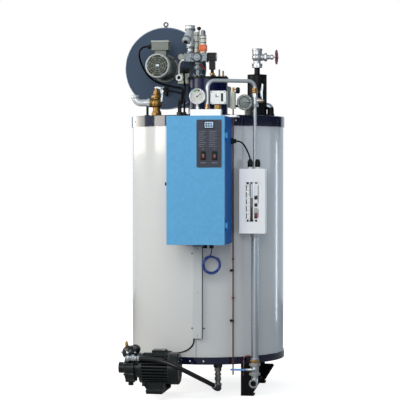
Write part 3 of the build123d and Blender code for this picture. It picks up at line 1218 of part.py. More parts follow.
with BuildPart() as cock_lever:
    rod((COCK_LEVER_X, COLUMN_Y, COCK_Z), (COCK_LEVER_X + COCK_LEVER_T, COLUMN_Y, COCK_Z), COCK_HUB_R)
    block((COCK_LEVER_X, COLUMN_Y - COCK_LEVER_W / 2, COCK_Z),
          (COCK_LEVER_X + COCK_LEVER_T, COLUMN_Y + COCK_LEVER_W / 2, COCK_Z + COCK_LEVER_LEN))
    rod((COCK_STEM_X, COLUMN_Y, COCK_Z), (COCK_STEM_X + COCK_STEM_LEN, COLUMN_Y, COCK_Z), COCK_STEM_R + RUN,
        Mode.SUBTRACT)
save("cock_lever", cock_lever.part)

# Level control: round casting with a rim and ribs on a bent pipe from the boiler's top
with BuildPart() as level_control:
    with BuildSketch(facing(LEVEL_BACK)):
        with Locations((LEVEL_X, LEVEL_Z)):
            Circle(LEVEL_R)
    extrude(amount=LEVEL_D)
    with BuildSketch(facing(LEVEL_FRONT + LEVEL_RIM_T)):
        with Locations((LEVEL_X, LEVEL_Z)):
            Circle(LEVEL_RIM_R)
    extrude(amount=LEVEL_RIM_T)
    fillet(level_control.edges().group_by(Axis.Y)[0], LEVEL_RIB_T / 2)
    with BuildSketch(facing(LEVEL_FRONT)):
        with Locations((LEVEL_X, LEVEL_Z)):
            with PolarLocations(0, 2):
                Rectangle(LEVEL_R, LEVEL_RIB_T)
            Circle(LEVEL_R / 3)
    extrude(amount=LEVEL_RIB_H)
    add(tube([(LEVEL_X, LEVEL_BACK, LEVEL_Z), (LEVEL_X, LEVEL_PIPE_Y, LEVEL_Z),
              (LEVEL_X, LEVEL_PIPE_Y, TOP_Z)],
             LEVEL_PIPE_TURN, LEVEL_PIPE_R))
save("level_control", level_control.part)

# Needle valve beside the level control, on the copper drain tube
NEEDLE_TOP = NEEDLE_Z + NEEDLE_H
NEEDLE_KNOB_Z = NEEDLE_TOP + NEEDLE_TOP_H / 2
with BuildPart() as needle_valve:
    rod((NEEDLE_X, NEEDLE_Y, NEEDLE_Z), (NEEDLE_X, NEEDLE_Y, NEEDLE_TOP), NEEDLE_R)
    rod((NEEDLE_X, NEEDLE_Y, NEEDLE_TOP), (NEEDLE_X, NEEDLE_Y, NEEDLE_TOP + NEEDLE_TOP_H), NEEDLE_TOP_R)
    rod((NEEDLE_X, NEEDLE_Y, NEEDLE_KNOB_Z), (NEEDLE_X + NEEDLE_R, NEEDLE_Y, NEEDLE_KNOB_Z), NEEDLE_TOP_R / 2)
    rod((NEEDLE_X + NEEDLE_R, NEEDLE_Y, NEEDLE_KNOB_Z),
        (NEEDLE_X + NEEDLE_R + NEEDLE_KNOB_LEN, NEEDLE_Y, NEEDLE_KNOB_Z),
        NEEDLE_KNOB_R)
    rod((NEEDLE_X, NEEDLE_Y, NEEDLE_Z + NEEDLE_R), (LEVEL_X, NEEDLE_Y, NEEDLE_Z + NEEDLE_R), NEEDLE_TOP_R)
    rod((LEVEL_X, LEVEL_FRONT - LEVEL_RIM_T, LEVEL_Z), (LEVEL_X, 0, LEVEL_Z), LEVEL_RIM_R + FIT,
        Mode.SUBTRACT)
save("needle_valve", needle_valve.part)

with BuildPart() as bracket_arm:
    block((BRACKET_RIGHT, BRACKET_FRONT + BRACKET_D - ARM_D, CAB_TOP),
          (CAB_RIGHT, BRACKET_FRONT + BRACKET_D, CAB_TOP + ARM_H))
    block((CAB_RIGHT, BRACKET_FRONT + BRACKET_D - ARM_D, CAB_TOP),
          (ARM_END, NEEDLE_Y + NEEDLE_R, CAB_TOP + ARM_H))
    rod((NEEDLE_X, NEEDLE_Y, COPPER_Z), (NEEDLE_X, NEEDLE_Y, NEEDLE_Z), COPPER_R + FIT, Mode.SUBTRACT)
save("gauge_bracket", gauge_bracket.part, bracket_arm.part)

with BuildPart() as drain_tube:
    rod((NEEDLE_X, NEEDLE_Y, COPPER_Z), (NEEDLE_X, NEEDLE_Y, NEEDLE_Z), COPPER_R)

with BuildPart() as tube_clips:
    for rise in CLIP_RISE:
        z = LEG_HEIGHT + rise
        rod((NEEDLE_X, NEEDLE_Y, z), (NEEDLE_X, -SHELL_R / 2, z), CLIP_POST_R)
        rod((NEEDLE_X, NEEDLE_Y, z - CLIP_T / 2), (NEEDLE_X, NEEDLE_Y, z + CLIP_T / 2), CLIP_R)
        rod((NEEDLE_X, NEEDLE_Y, z - CLIP_T), (NEEDLE_X, NEEDLE_Y, z + CLIP_T), COPPER_R + FIT, Mode.SUBTRACT)
    Cylinder(SHELL_R + FIT, 3 * TOP_Z, mode=Mode.SUBTRACT)
save("drain_tube", drain_tube.part, tube_clips.part)

# Gauge box with a window over the sight glass
with BuildPart() as gauge_box:
    block((BOX_X - BOX_W / 2, BOX_FACE, BOX_Z), (BOX_X + BOX_W / 2, BOX_BACK, BOX_TOP))
    fillet(gauge_box.edges().filter_by(Axis.Z), BOX_EDGE)
    block((BOX_X - BOX_W / 2 + BOX_WALL, BOX_FACE + BOX_WALL, BOX_Z + BOX_WALL),
          (BOX_X + BOX_W / 2 - BOX_WALL, BOX_BACK - BOX_WALL, BOX_TOP - BOX_WALL), Mode.SUBTRACT)
    with BuildSketch(facing(BOX_FACE)):
        with Locations((BOX_X, BOX_Z + WINDOW_RISE + WINDOW_H / 2)):
            RectangleRounded(WINDOW_W, WINDOW_H, BOX_EDGE)
    extrude(amount=-BOX_WALL, mode=Mode.SUBTRACT)
save("gauge_box", gauge_box.part)

CORE_BACK = BOX_BACK - BOX_WALL
CORE_FACE = CORE_BACK - CORE_D
with BuildPart() as gauge_core:
    block((BOX_X - CORE_W / 2, CORE_FACE, BOX_Z + CORE_EDGE),
          (BOX_X + CORE_W / 2, CORE_BACK, BOX_TOP - CORE_EDGE))
    block((BOX_X - CORE_SLOT_W / 2, CORE_FACE - CORE_SLOT_D, BOX_Z + 2 * CORE_EDGE),
          (BOX_X + CORE_SLOT_W / 2, CORE_FACE + CORE_SLOT_D, BOX_TOP - 2 * CORE_EDGE), Mode.SUBTRACT)
save("gauge_core", gauge_core.part)

with BuildPart() as sight_glass:
    block((BOX_X - GLASS_W / 2, CORE_FACE + CORE_SLOT_D - GLASS_D, BOX_Z + 2 * CORE_EDGE),
          (BOX_X + GLASS_W / 2, CORE_FACE + CORE_SLOT_D, BOX_TOP - 2 * CORE_EDGE))
save("sight_glass", sight_glass.part)

with BuildPart() as drop_pipe:
    rod((COLUMN_X, COLUMN_Y, BOX_TOP), (COLUMN_X, COLUMN_Y, COCK_LOW), DROP_R)

with BuildPart() as water_column:
    rod((COLUMN_X, COLUMN_Y, BLOW_TOP), (COLUMN_X, COLUMN_Y, BOX_Z), COLUMN_R)
save("column_pipes", drop_pipe.part, water_column.part)

# Blow-down valve with its lever, and the drain bend below it
with BuildPart() as blowdown_valve:
    add(hex_bar((COLUMN_X, COLUMN_Y, BLOW_LOW), (COLUMN_X, COLUMN_Y, BLOW_LOW + BLOW_END_H), BLOW_HEX))
    rod((COLUMN_X, COLUMN_Y, BLOW_LOW), (COLUMN_X, COLUMN_Y, BLOW_TOP), BLOW_BODY_R)
    add(hex_bar((COLUMN_X, COLUMN_Y, BLOW_TOP - BLOW_END_H), (COLUMN_X, COLUMN_Y, BLOW_TOP), BLOW_HEX))
    rod((COLUMN_X, COLUMN_Y, BLOW_Z), (COLUMN_X, BLOW_LEVER_Y, BLOW_Z), BLOW_NECK_R)
    rod((COLUMN_X, BLOW_LEVER_Y, BLOW_Z), (COLUMN_X, BLOW_LEVER_Y - BLOW_STEM_LEN, BLOW_Z), BLOW_STEM_R)

with BuildPart() as blowdown_lever:
    rod((COLUMN_X, BLOW_LEVER_Y - RUN, BLOW_Z), (COLUMN_X, BLOW_LEVER_Y - RUN - BLOW_LEVER_T, BLOW_Z),
        BLOW_HUB_R)
    block((COLUMN_X - BLOW_LEVER_LEN, BLOW_LEVER_Y - RUN - BLOW_LEVER_T, BLOW_Z - BLOW_LEVER_W / 2),
          (COLUMN_X, BLOW_LEVER_Y - RUN, BLOW_Z + BLOW_LEVER_W / 2))
    rod((COLUMN_X, BLOW_LEVER_Y, BLOW_Z), (COLUMN_X, BLOW_LEVER_Y - BLOW_STEM_LEN, BLOW_Z), BLOW_STEM_R + RUN,
        Mode.SUBTRACT)
save("blowdown_lever", blowdown_lever.part)

with BuildPart() as drain_bend:
    add(tube([(COLUMN_X, COLUMN_Y, BLOW_LOW), (COLUMN_X, COLUMN_Y, DRAIN_Z),
              (COLUMN_X, DRAIN_MOUTH_Y, DRAIN_Z)],
             DRAIN_TURN, DRAIN_R))
    rod((COLUMN_X, DRAIN_MOUTH_Y + DRAIN_MOUTH_LEN, DRAIN_Z), (COLUMN_X, DRAIN_MOUTH_Y, DRAIN_Z),
        DRAIN_MOUTH_R)
    rod((COLUMN_X, DRAIN_MOUTH_Y + DRAIN_DEPTH, DRAIN_Z), (COLUMN_X, DRAIN_MOUTH_Y, DRAIN_Z), DRAIN_BORE,
        Mode.SUBTRACT)
save("blowdown_valve", blowdown_valve.part, drain_bend.part)

# Feed pump: casing with suction port and riser, finned motor, fan cover, terminal box
with BuildPart() as pump_casing:
    rod((PUMP_CASE_X, PUMP_Y, PUMP_Z), (PUMP_LANTERN_X, PUMP_Y, PUMP_Z), PUMP_CASE_R)
    fillet(pump_casing.edges().filter_by(GeomType.CIRCLE), PUMP_EDGE)
    rod((PUMP_CASE_X, PUMP_Y, PUMP_Z), (PUMP_CASE_X - SUCTION_LEN, PUMP_Y, PUMP_Z), SUCTION_R)
    rod((PUMP_LANTERN_X, PUMP_Y, PUMP_Z), (PUMP_SHIELD_X, PUMP_Y, PUMP_Z), PUMP_LANTERN_R)
    rod((PUMP_CASE_MID, PUMP_Y, PUMP_Z), (PUMP_CASE_MID, PUMP_Y, PUMP_Z + RISER_H), RISER_R)
    fillet(pump_casing.edges().group_by(Axis.Z)[-1], RISER_EDGE)
    rod((PUMP_CASE_MID, PUMP_Y, NOZZLE_Z), (PUMP_CASE_MID, NOZZLE_Y, NOZZLE_Z), NOZZLE_R)
    with Locations((PUMP_CASE_MID, NOZZLE_Y, NOZZLE_Z)):
        Sphere(NOZZLE_R)
    rod((PUMP_CASE_X - SUCTION_LEN, PUMP_Y, PUMP_Z),
        (PUMP_CASE_X - SUCTION_LEN + SUCTION_DEPTH, PUMP_Y, PUMP_Z),
        SUCTION_BORE, Mode.SUBTRACT)
    rod((PUMP_CASE_MID + NOZZLE_R / 2, NOZZLE_Y, NOZZLE_Z),
        (PUMP_CASE_MID + 2 * NOZZLE_R, NOZZLE_Y, NOZZLE_Z),
        HOSE_NIPPLE_R + FIT, Mode.SUBTRACT)
save("pump_casing", pump_casing.part)

with BuildPart() as hose_nipple:
    rod((PUMP_CASE_MID + NOZZLE_R / 2, NOZZLE_Y, NOZZLE_Z),
        (PUMP_CASE_MID + NOZZLE_R / 2 + HOSE_NIPPLE_LEN, NOZZLE_Y, NOZZLE_Z), HOSE_NIPPLE_R)

with BuildPart() as pump_motor:
    rod((PUMP_SHIELD_X, PUMP_Y, PUMP_Z), (PUMP_MOTOR_X, PUMP_Y, PUMP_Z), PUMP_SHIELD_R)
    with BuildSketch(Plane(origin=(PUMP_MOTOR_X, PUMP_Y, PUMP_Z), x_dir=(0, 1, 0), z_dir=(1, 0, 0))):
        Circle(PUMP_R)
        with PolarLocations(PUMP_R, PUMP_FINS):
            Rectangle(2 * PUMP_FIN_H, PUMP_FIN_T)
    extrude(amount=PUMP_LEN)
    block((PUMP_FOOT_X - PUMP_FOOT_W / 2, PUMP_Y - PUMP_FOOT_WEB / 2, PUMP_FOOT_Z),
          (PUMP_FOOT_X + PUMP_FOOT_W / 2, PUMP_Y + PUMP_FOOT_WEB / 2, PUMP_Z - PUMP_R / 2))
    block((PUMP_FOOT_X - PUMP_FOOT_W / 2, PUMP_Y - PUMP_FOOT_D / 2, PUMP_FOOT_Z),
          (PUMP_FOOT_X + PUMP_FOOT_W / 2, PUMP_Y + PUMP_FOOT_D / 2, PUMP_FOOT_Z + PUMP_FOOT_T))

with BuildPart() as pump_fan_cover:
    rod((PUMP_COVER_X, PUMP_Y, PUMP_Z), (PUMP_RIGHT, PUMP_Y, PUMP_Z), PUMP_COVER_R)
    fillet(pump_fan_cover.edges().group_by(Axis.X)[-1], PUMP_COVER_EDGE)

with BuildPart() as pump_terminal_box:
    block((PBOX_LOW, PBOX_FRONT, PBOX_Z), (PBOX_LOW + PBOX_W, PBOX_BACK, PBOX_Z + PBOX_H))
    fillet(pump_terminal_box.edges().filter_by(Axis.Z), PBOX_EDGE)
    rod((PUMP_SHIELD_X, PUMP_Y, PUMP_Z), (PUMP_RIGHT, PUMP_Y, PUMP_Z), PUMP_BODY_R + FIT, Mode.SUBTRACT)
    gland((PBOX_LOW + PBOX_W, PBOX_GLAND_Y, PBOX_GLAND_Z), (1, 0, 0))
save("pump_motor", pump_motor.part, pump_fan_cover.part, pump_terminal_box.part)

with BuildPart() as pump_bracket:
    block((PUMP_FOOT_X - PUMP_ARM_W / 2, PUMP_Y - PUMP_FOOT_D / 2, PUMP_FOOT_Z - PUMP_ARM_T),
          (PUMP_FOOT_X + PUMP_ARM_W / 2, -LEG_OUTER, PUMP_FOOT_Z))
    block((PUMP_FOOT_X - PUMP_ARM_W / 2, -(LEG_OUTER + PUMP_ARM_T), PUMP_FOOT_Z - PUMP_ARM_T),
          (PUMP_FOOT_X + PUMP_ARM_W / 2, -LEG_OUTER, PUMP_FOOT_Z + PUMP_ARM_W / 2))
save("legs", *legs, pump_bracket.part)

# Feed inlet: socket under the shell, bend and hose nut
with BuildPart() as feed_inlet:
    rod((FEED_X, FEED_Y, LEG_HEIGHT - FEED_SOCKET_H), (FEED_X, FEED_Y, LEG_HEIGHT), FEED_SOCKET_R)
    add(tube([FEED_START, FEED_CORNER, (FEED_X, FEED_Y, LEG_HEIGHT)], FEED_TURN, FEED_R))
    add(hex_bar((FEED_X, FEED_Y, LEG_HEIGHT - FEED_SOCKET_H - FEED_NUT_LEN),
                (FEED_X, FEED_Y, LEG_HEIGHT - FEED_SOCKET_H),
                FEED_NUT))
save("feed_fittings", feed_inlet.part, hose_nipple.part)

# Cords: feed hose, five cables, air tube and the hanging tube with its coil
save("feed_hose", cord("feed_hose", HOSE_POINTS, HOSE_R))
save("pump_cable", cord("pump_cable", PUMP_CABLE_POINTS, CABLE_R))
save("gauge_cable", cord("gauge_cable", GAUGE_CABLE_POINTS, CABLE_R))
save("fan_cable", cord("fan_cable", FAN_CABLE_POINTS, BURNER_CABLE_R))
save("valve_cable", cord("valve_cable", VALVE_CABLE_POINTS, BURNER_CABLE_R))
save("spark_cable", cord("spark_cable", SPARK_CABLE_POINTS, BURNER_CABLE_R))
save("air_tube", cord("air_tube", AIR_TUBE_POINTS, AIR_TUBE_R))
save("spare_tube", cord("spare_tube", TUBE_POINTS, TUBE_R))

with BuildPart() as tube_coil:
    with Locations(Plane(origin=TUBE_COIL, z_dir=(0, -1, 0)).location):
        Torus(TUBE_COIL_R, TUBE_COIL_THICK)
save("tube_coil", tube_coil.part)
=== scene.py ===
"""Looks, cords and studio of an upright gas-fired steam boiler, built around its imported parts."""
import json
import logging
import math
from dataclasses import dataclass
from enum import Enum
from typing import Callable, Optional, Sequence

import bmesh
import bpy
from mathutils import Matrix, Vector

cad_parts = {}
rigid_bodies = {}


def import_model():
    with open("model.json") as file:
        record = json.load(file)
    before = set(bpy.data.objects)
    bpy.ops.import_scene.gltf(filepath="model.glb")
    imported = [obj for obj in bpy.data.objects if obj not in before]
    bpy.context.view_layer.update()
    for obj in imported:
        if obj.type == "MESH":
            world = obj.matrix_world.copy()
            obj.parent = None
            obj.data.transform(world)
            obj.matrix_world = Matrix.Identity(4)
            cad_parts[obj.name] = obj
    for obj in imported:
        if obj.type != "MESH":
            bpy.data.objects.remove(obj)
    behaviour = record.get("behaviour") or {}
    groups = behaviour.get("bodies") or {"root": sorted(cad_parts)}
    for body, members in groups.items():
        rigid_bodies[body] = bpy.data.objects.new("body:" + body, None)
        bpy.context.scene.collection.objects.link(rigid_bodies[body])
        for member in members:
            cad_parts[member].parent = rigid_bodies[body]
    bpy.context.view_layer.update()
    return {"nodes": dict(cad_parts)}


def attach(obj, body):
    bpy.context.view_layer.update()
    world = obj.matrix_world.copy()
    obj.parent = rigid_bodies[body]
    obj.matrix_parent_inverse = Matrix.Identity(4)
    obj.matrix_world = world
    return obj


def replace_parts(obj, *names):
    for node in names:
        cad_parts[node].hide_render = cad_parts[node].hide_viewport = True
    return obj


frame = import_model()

MM = 0.001
# Angles between faces above which an edge is shaded sharp, and above which it is rounded
SHARP = math.radians(35)
ROUNDED = 0.6
# How far a bolt or a screw sits in its surface, in mm, and a screw head's outline as shares of its radius
SUNK = 0.3
SCREW_HEAD = ((0.0, 0.0), (1.0, 0.0), (1.0, 0.35), (0.8, 0.6), (0.35, 0.72), (0.3, 0.5), (0.0, 0.5))
LOG = logging.getLogger("boiler")

# A point or a direction: a tuple of three lengths, or a Vector
Point = Sequence[float]
# Pairs of radius and distance along the axis that an outline is turned round
Outline = Sequence[tuple[float, float]]
# Two, three or four lengths that belong together, and a row of lengths
Pair = tuple[float, float]
Triple = tuple[float, float, float]
Quad = tuple[float, float, float, float]
Lengths = tuple[float, ...]
# Test of a face's middle in mm and its normal
Chooser = Callable[[Vector, Vector], bool]

FRONT = (0.0, -1.0, 0.0)
BACK = (0.0, 1.0, 0.0)
LEFT = (-1.0, 0.0, 0.0)
RIGHT = (1.0, 0.0, 0.0)
UP = (0.0, 0.0, 1.0)


class Body(Enum):
    """Bodies of the part that a piece can ride on."""

    BASE = "base"
    DOOR = "door"
    HANDWHEEL = "handwheel"
    BLOWDOWN = "blowdown_lever"
    COCK = "cock_lever"


class Plane(Enum):
    """Planes that a circle of points can lie in."""

    XY = "XY"
    XZ = "XZ"
    YZ = "YZ"


class FarEnd(Enum):
    """What the far end of a cord is."""

    OBJECT = "object"
    BARE = "bare"


class Stiffness(Enum):
    """How stiff a cord is."""

    LIMP = "limp"
    MEDIUM = "medium"


class Lay(Enum):
    """How a cord lies."""

    HANGING = "hanging"
    COILED = "coiled"


def linear(code: str) -> tuple[float, float, float, float]:
    """Turn an sRGB hex colour into linear values.

    Args:
        code: Colour such as "#8899AA".

    Returns:
        Red, green, blue and alpha as a shader socket takes them.
    """
    parts = [int(code[i:i + 2], 16) / 255 for i in (1, 3, 5)]
    red, green, blue = [c / 12.92 if c <= 0.04045 else ((c + 0.055) / 1.055) ** 2.4 for c in parts]
    return red, green, blue, 1.0


def add_node(tree: bpy.types.NodeTree, kind: str, settings: Optional[dict] = None,
             inputs: Optional[dict] = None) -> bpy.types.Node:
    """Add one shader node with its settings and links.

    Args:
        tree: Node tree that takes the node.
        kind: Blender's name of the node type.
        settings: Attributes of the node.
        inputs: Values for its sockets by name or number; an output socket is linked.

    Returns:
        The new node.
    """
    node = tree.nodes.new(kind)
    for key, value in (settings or {}).items():
        setattr(node, key, value)
    for key, value in (inputs or {}).items():
        if isinstance(value, bpy.types.NodeSocket):
            tree.links.new(value, node.inputs[key])
        else:
            node.inputs[key].default_value = value
    return node


@dataclass(frozen=True)
class Finish:
    """A surface finish; one material is made from it.

    Attributes:
        name: The real material.
        slot: Material slot of the record; not used.
        colour: Base colour as sRGB hex.
        roughness: Middle roughness.
        metallic: 1 for bare metal.
        coat: Strength of a clear coat.
        drift: How far broad patches leave the base colour.
        patch_mm: Size of those patches.
        grain_mm: Size of the fine grain.
        bump_mm: Height of the fine grain.
        spread: How far the roughness varies.
        stretch: Scale of the pattern along X, Y and Z.
        edge_mm: Radius that edges seem to have.
        shine: Strength of the plain reflection, 0.5 for most paints.
        edge_wear_and_highlight: How far edges turn paler: wear on most finishes, a painted highlight on the
            pump's iron.
        edge_paling: How many times paler those edges are.
        glow: Strength of light given off.
    """

    name: str
    slot: str
    colour: str
    roughness: float
    metallic: float = 0.0
    coat: float = 0.0
    drift: float = 0.08
    patch_mm: float = 140.0
    grain_mm: float = 1.5
    bump_mm: float = 0.02
    spread: float = 0.06
    stretch: Point = (1.0, 1.0, 1.0)
    edge_mm: float = 0.8
    shine: float = 0.5
    edge_wear_and_highlight: float = 0.0
    edge_paling: float = 2.2
    glow: float = 0.0

    def tone(self, factor: float) -> tuple[float, float, float, float]:
        """Scale the base colour.

        Args:
            factor: 1 leaves it as it is.

        Returns:
            The linear colour.
        """
        red, green, blue, alpha = linear(self.colour)
        return min(red * factor, 1.0), min(green * factor, 1.0), min(blue * factor, 1.0), alpha

    def material(self) -> bpy.types.Material:
        """Make the material, or take it if it exists.

        Returns:
            The material.
        """
        made = bpy.data.materials.get(self.name)
        if made:
            return made
        made = bpy.data.materials.new(self.name)
        made.use_nodes = True
        tree = made.node_tree
        tree.nodes.clear()
        place = add_node(tree, "ShaderNodeTexCoord")
        mapped = add_node(tree, "ShaderNodeMapping", {}, {
            "Vector": place.outputs["Object"], "Scale": self.stretch})
        patches = add_node(tree, "ShaderNodeTexNoise", {}, {
            "Vector": mapped.outputs["Vector"], "Scale": 1 / (self.patch_mm * MM), "Detail": 5.0,
            "Roughness": 0.55})
        grain = add_node(tree, "ShaderNodeTexNoise", {}, {
            "Vector": mapped.outputs["Vector"], "Scale": 1 / (self.grain_mm * MM), "Detail": 3.0,
            "Roughness": 0.6})
        tones = add_node(tree, "ShaderNodeMix", {"data_type": "RGBA"}, {
            0: patches.outputs["Fac"], 6: self.tone(1 - self.drift), 7: self.tone(1 + self.drift)})
        soft = add_node(tree, "ShaderNodeBevel", {"samples": 4}, {"Radius": self.edge_mm * MM})
        colour = tones.outputs[2]
        # Paler edges: real wear on most finishes, a painted highlight on the pump's black iron
        if self.edge_wear_and_highlight:
            shape = add_node(tree, "ShaderNodeNewGeometry")
            turn = add_node(tree, "ShaderNodeVectorMath", {"operation": "DOT_PRODUCT"}, {
                0: soft.outputs["Normal"], 1: shape.outputs["Normal"]})
            edge = add_node(tree, "ShaderNodeMapRange", {}, {
                "Value": turn.outputs["Value"], "From Min": 0.97, "From Max": 0.80, "To Max": self.edge_wear_and_highlight})
            pale_edges = add_node(tree, "ShaderNodeMix", {"data_type": "RGBA"}, {
                0: edge.outputs["Result"], 6: colour, 7: self.tone(self.edge_paling)})
            colour = pale_edges.outputs[2]
        rough = add_node(tree, "ShaderNodeMapRange", {}, {
            "Value": grain.outputs["Fac"], "From Min": 0.3, "From Max": 0.7,
            "To Min": max(self.roughness - self.spread, 0.02),
            "To Max": min(self.roughness + self.spread, 1.0)})
        bump = add_node(tree, "ShaderNodeBump", {}, {
            "Strength": 0.5, "Distance": self.bump_mm * MM, "Height": grain.outputs["Fac"],
            "Normal": soft.outputs["Normal"]})
        shade = add_node(tree, "ShaderNodeBsdfPrincipled", {}, {
            "Base Color": colour, "Roughness": rough.outputs["Result"], "Metallic": self.metallic,
            "Specular IOR Level": self.shine, "Coat Weight": self.coat, "Coat Roughness": 0.06,
            "Emission Color": self.tone(1.0), "Emission Strength": self.glow,
            "Normal": bump.outputs["Normal"]})
        add_node(tree, "ShaderNodeOutputMaterial", {}, {"Surface": shade.outputs["BSDF"]})
        return made


# Smooth stove enamel: near white where the key light falls, with long clear reflections
JACKET = Finish("stove enamel, light grey", "jacket_paint", "#BDC0C2", 0.22, coat=0.4, drift=0.02,
                patch_mm=400, grain_mm=4, bump_mm=0.01, spread=0.03, shine=0.3)
# Deep gloss navy: nearly black, with narrow bright reflections
NAVY = Finish("gloss enamel, navy", "navy_paint", "#0B1238", 0.20, drift=0.10, grain_mm=3, bump_mm=0.02,
              shine=0.16, edge_wear_and_highlight=0.10)
# The same enamel baked on the polished end bands: a hard clear mirror over navy
BAND = Finish("baked enamel, navy", "navy_paint", "#0C122C", 0.14, drift=0.06, grain_mm=3, bump_mm=0.01,
              coat=0.7, shine=0.1)
# Satin black: dull frame paint that still shows its edges
BLACK = Finish("satin enamel, black", "black_paint", "#0B0C0E", 0.38, drift=0.15, grain_mm=2, bump_mm=0.04,
               shine=0.10, edge_wear_and_highlight=0.12)
# Light blue powder coat: mottled, with a faint orange peel
BLUE = Finish("powder coat, light blue", "cabinet_blue", "#5C9CC9", 0.50, drift=0.13, patch_mm=16,
              grain_mm=1.6, bump_mm=0.05, spread=0.04, shine=0.06, edge_wear_and_highlight=0.2)
# Deeper blue of the cabinet's own walls, behind the lighter door: a deeper paint, darkened further as painted
# shade on the cabinet's side
SHADED_BLUE = Finish("powder coat, blue, painted shade", "cabinet_blue", "#155A9F", 0.55, drift=0.04, patch_mm=60,
                   grain_mm=1.6, bump_mm=0.05, spread=0.04, shine=0.04, edge_wear_and_highlight=0.2)
# White powder coat: clean and bright, with soft even shading
WHITE = Finish("powder coat, white", "white_paint", "#FAFBFB", 0.40, drift=0.015, patch_mm=200,
               grain_mm=1.5, bump_mm=0.03, spread=0.04, shine=0.3)
# Pale grey sheet of the cable trunk: a shade off the jacket, so its edges show
TRUNK = Finish("powder coat, pale grey", "white_paint", "#B2B7BA", 0.40, drift=0.02, patch_mm=200,
               grain_mm=1.5, bump_mm=0.03, spread=0.04, shine=0.3)
# Slate blue satin paint of the fan: mottled like paint on pressed sheet
SLATE = Finish("satin enamel, slate blue", "slate_paint", "#334358", 0.40, drift=0.10, patch_mm=70,
               grain_mm=2, bump_mm=0.05, shine=0.14, edge_wear_and_highlight=0.2)
# Rolled rim of the fan disc, paler than its face
RIM = Finish("satin enamel, pale slate", "slate_paint", "#7C8A9E", 0.34, drift=0.08, patch_mm=40)
# Grey green machine paint of the motor: satin, rubbed pale on its edges
MOTOR = Finish("machine enamel, grey green", "motor_grey", "#727872", 0.40, drift=0.08, patch_mm=60,
               grain_mm=1.2, bump_mm=0.05, shine=0.2, edge_wear_and_highlight=0.3)
# Painted shade behind the cowl's bars: dark and blotched, so that the bars stand out
VENT_SHADE = Finish("machine enamel, painted vent shade", "motor_grey", "#3C413C", 0.6, drift=0.3, patch_mm=12, shine=0.1)
# Paler copy of the motor's paint on its end ring and box lid: painted light where the key light falls
LIT_MOTOR_PAINT = Finish("machine enamel, painted light", "motor_grey", "#9CA2A0", 0.36, drift=0.06, patch_mm=30,
             grain_mm=1.2, edge_wear_and_highlight=0.2)
# Zinc plate: cool grey with a faint spangle
ZINC = Finish("zinc plated steel", "zinc", "#92979C", 0.32, metallic=1.0, drift=0.14, patch_mm=18,
              grain_mm=0.8, spread=0.10)
# Blued steel of bolts and the eye: dark with a soft sheen
DARK = Finish("blackened steel", "black_paint", "#3A3C3E", 0.34, metallic=0.9, drift=0.12, patch_mm=12)
# Polished pipe: fine turned lines round the pipe
POLISHED = Finish("polished steel pipe", "polished_steel", "#A8ACB0", 0.28, metallic=1.0, drift=0.06,
                  patch_mm=40, grain_mm=0.6, bump_mm=0.01, stretch=(1.0, 1.0, 0.1))
# Galvanised pipe: an even grey with a soft gleam
PIPE = Finish("galvanised steel pipe", "polished_steel", "#A6AAAD", 0.34, metallic=0.6, drift=0.10,
              patch_mm=16, grain_mm=1.0, bump_mm=0.03)
# Cast alloy: pale and grainy
ALLOY = Finish("sand cast alloy", "alloy", "#7D8288", 0.40, metallic=0.75, drift=0.14, patch_mm=22,
               grain_mm=1.0, bump_mm=0.12, spread=0.08)
# Pale shell of the strainer: lighter and less metallic than the block below it
STRAINER = Finish("sand cast alloy, pale", "alloy", "#B4B9BC", 0.36, metallic=0.35, drift=0.16, patch_mm=20,
                  grain_mm=1.0, bump_mm=0.10, spread=0.08)
# Grimy body of the gas valve: grey with dark stains
GRIMY = Finish("sand cast alloy, grimy", "alloy", "#62686E", 0.36, metallic=0.6, drift=0.25, patch_mm=16,
               grain_mm=1.0, bump_mm=0.12, spread=0.08)
# Galvanised pipe fittings with old grease: dark blotches under a wet gleam
GALVANISED = Finish("galvanised iron, greasy", "alloy", "#6E6C66", 0.30, metallic=0.85, drift=0.3,
                    patch_mm=10, grain_mm=1.0, bump_mm=0.08, spread=0.1)
# Duller casting of the level control, a little green
CASTING = Finish("die cast alloy, dull", "alloy", "#666D68", 0.46, metallic=0.5, drift=0.16, patch_mm=18,
                 grain_mm=1.2, bump_mm=0.12)
# Putty paint of small valves and switches: pale, with a cast grain
PUTTY = Finish("machine enamel, putty", "alloy", "#B4B8AC", 0.42, drift=0.10, patch_mm=14, grain_mm=1.0,
               bump_mm=0.06)
# Ground and plated valve bodies: bright but soft
SATIN = Finish("satin plated casting", "chrome", "#A2A5A8", 0.36, metallic=0.7, drift=0.14, patch_mm=14,
               grain_mm=0.9, bump_mm=0.04, spread=0.08)
# Bright plate with clean reflections
CHROME = Finish("bright nickel plate", "chrome", "#B2B5B8", 0.14, metallic=1.0, drift=0.05, patch_mm=30,
                bump_mm=0.01, spread=0.04)
# Warm yellow brass, dulled in hollows
BRASS = Finish("cast brass", "brass", "#8F7044", 0.34, metallic=1.0, drift=0.28, patch_mm=10, grain_mm=0.9,
               bump_mm=0.05, spread=0.10)
# Brown bronze of the safety valve: dark in its hollows, worn yellow on edges
BRONZE = Finish("cast bronze, brown", "brass", "#73582F", 0.38, metallic=0.9, drift=0.35, patch_mm=9,
                grain_mm=1.0, bump_mm=0.10, spread=0.12, edge_wear_and_highlight=0.5)
# Dulled copper: brown, with warmer patches
COPPER = Finish("dulled copper tube", "copper", "#6E4236", 0.42, metallic=0.9, drift=0.18, patch_mm=60,
                grain_mm=1.5, spread=0.10)
# Maroon enamel of the handwheel: glossy, worn on its rim
MAROON = Finish("gloss enamel, maroon", "maroon_paint", "#6A1226", 0.24, coat=0.3, drift=0.10, patch_mm=20,
                edge_wear_and_highlight=0.2)
# Dipped vinyl of the lever: clear blue with a rubbery sheen
SLEEVE = Finish("dipped vinyl, blue", "lever_blue", "#3C80C6", 0.34, drift=0.06, patch_mm=30, grain_mm=1.0,
                bump_mm=0.03)
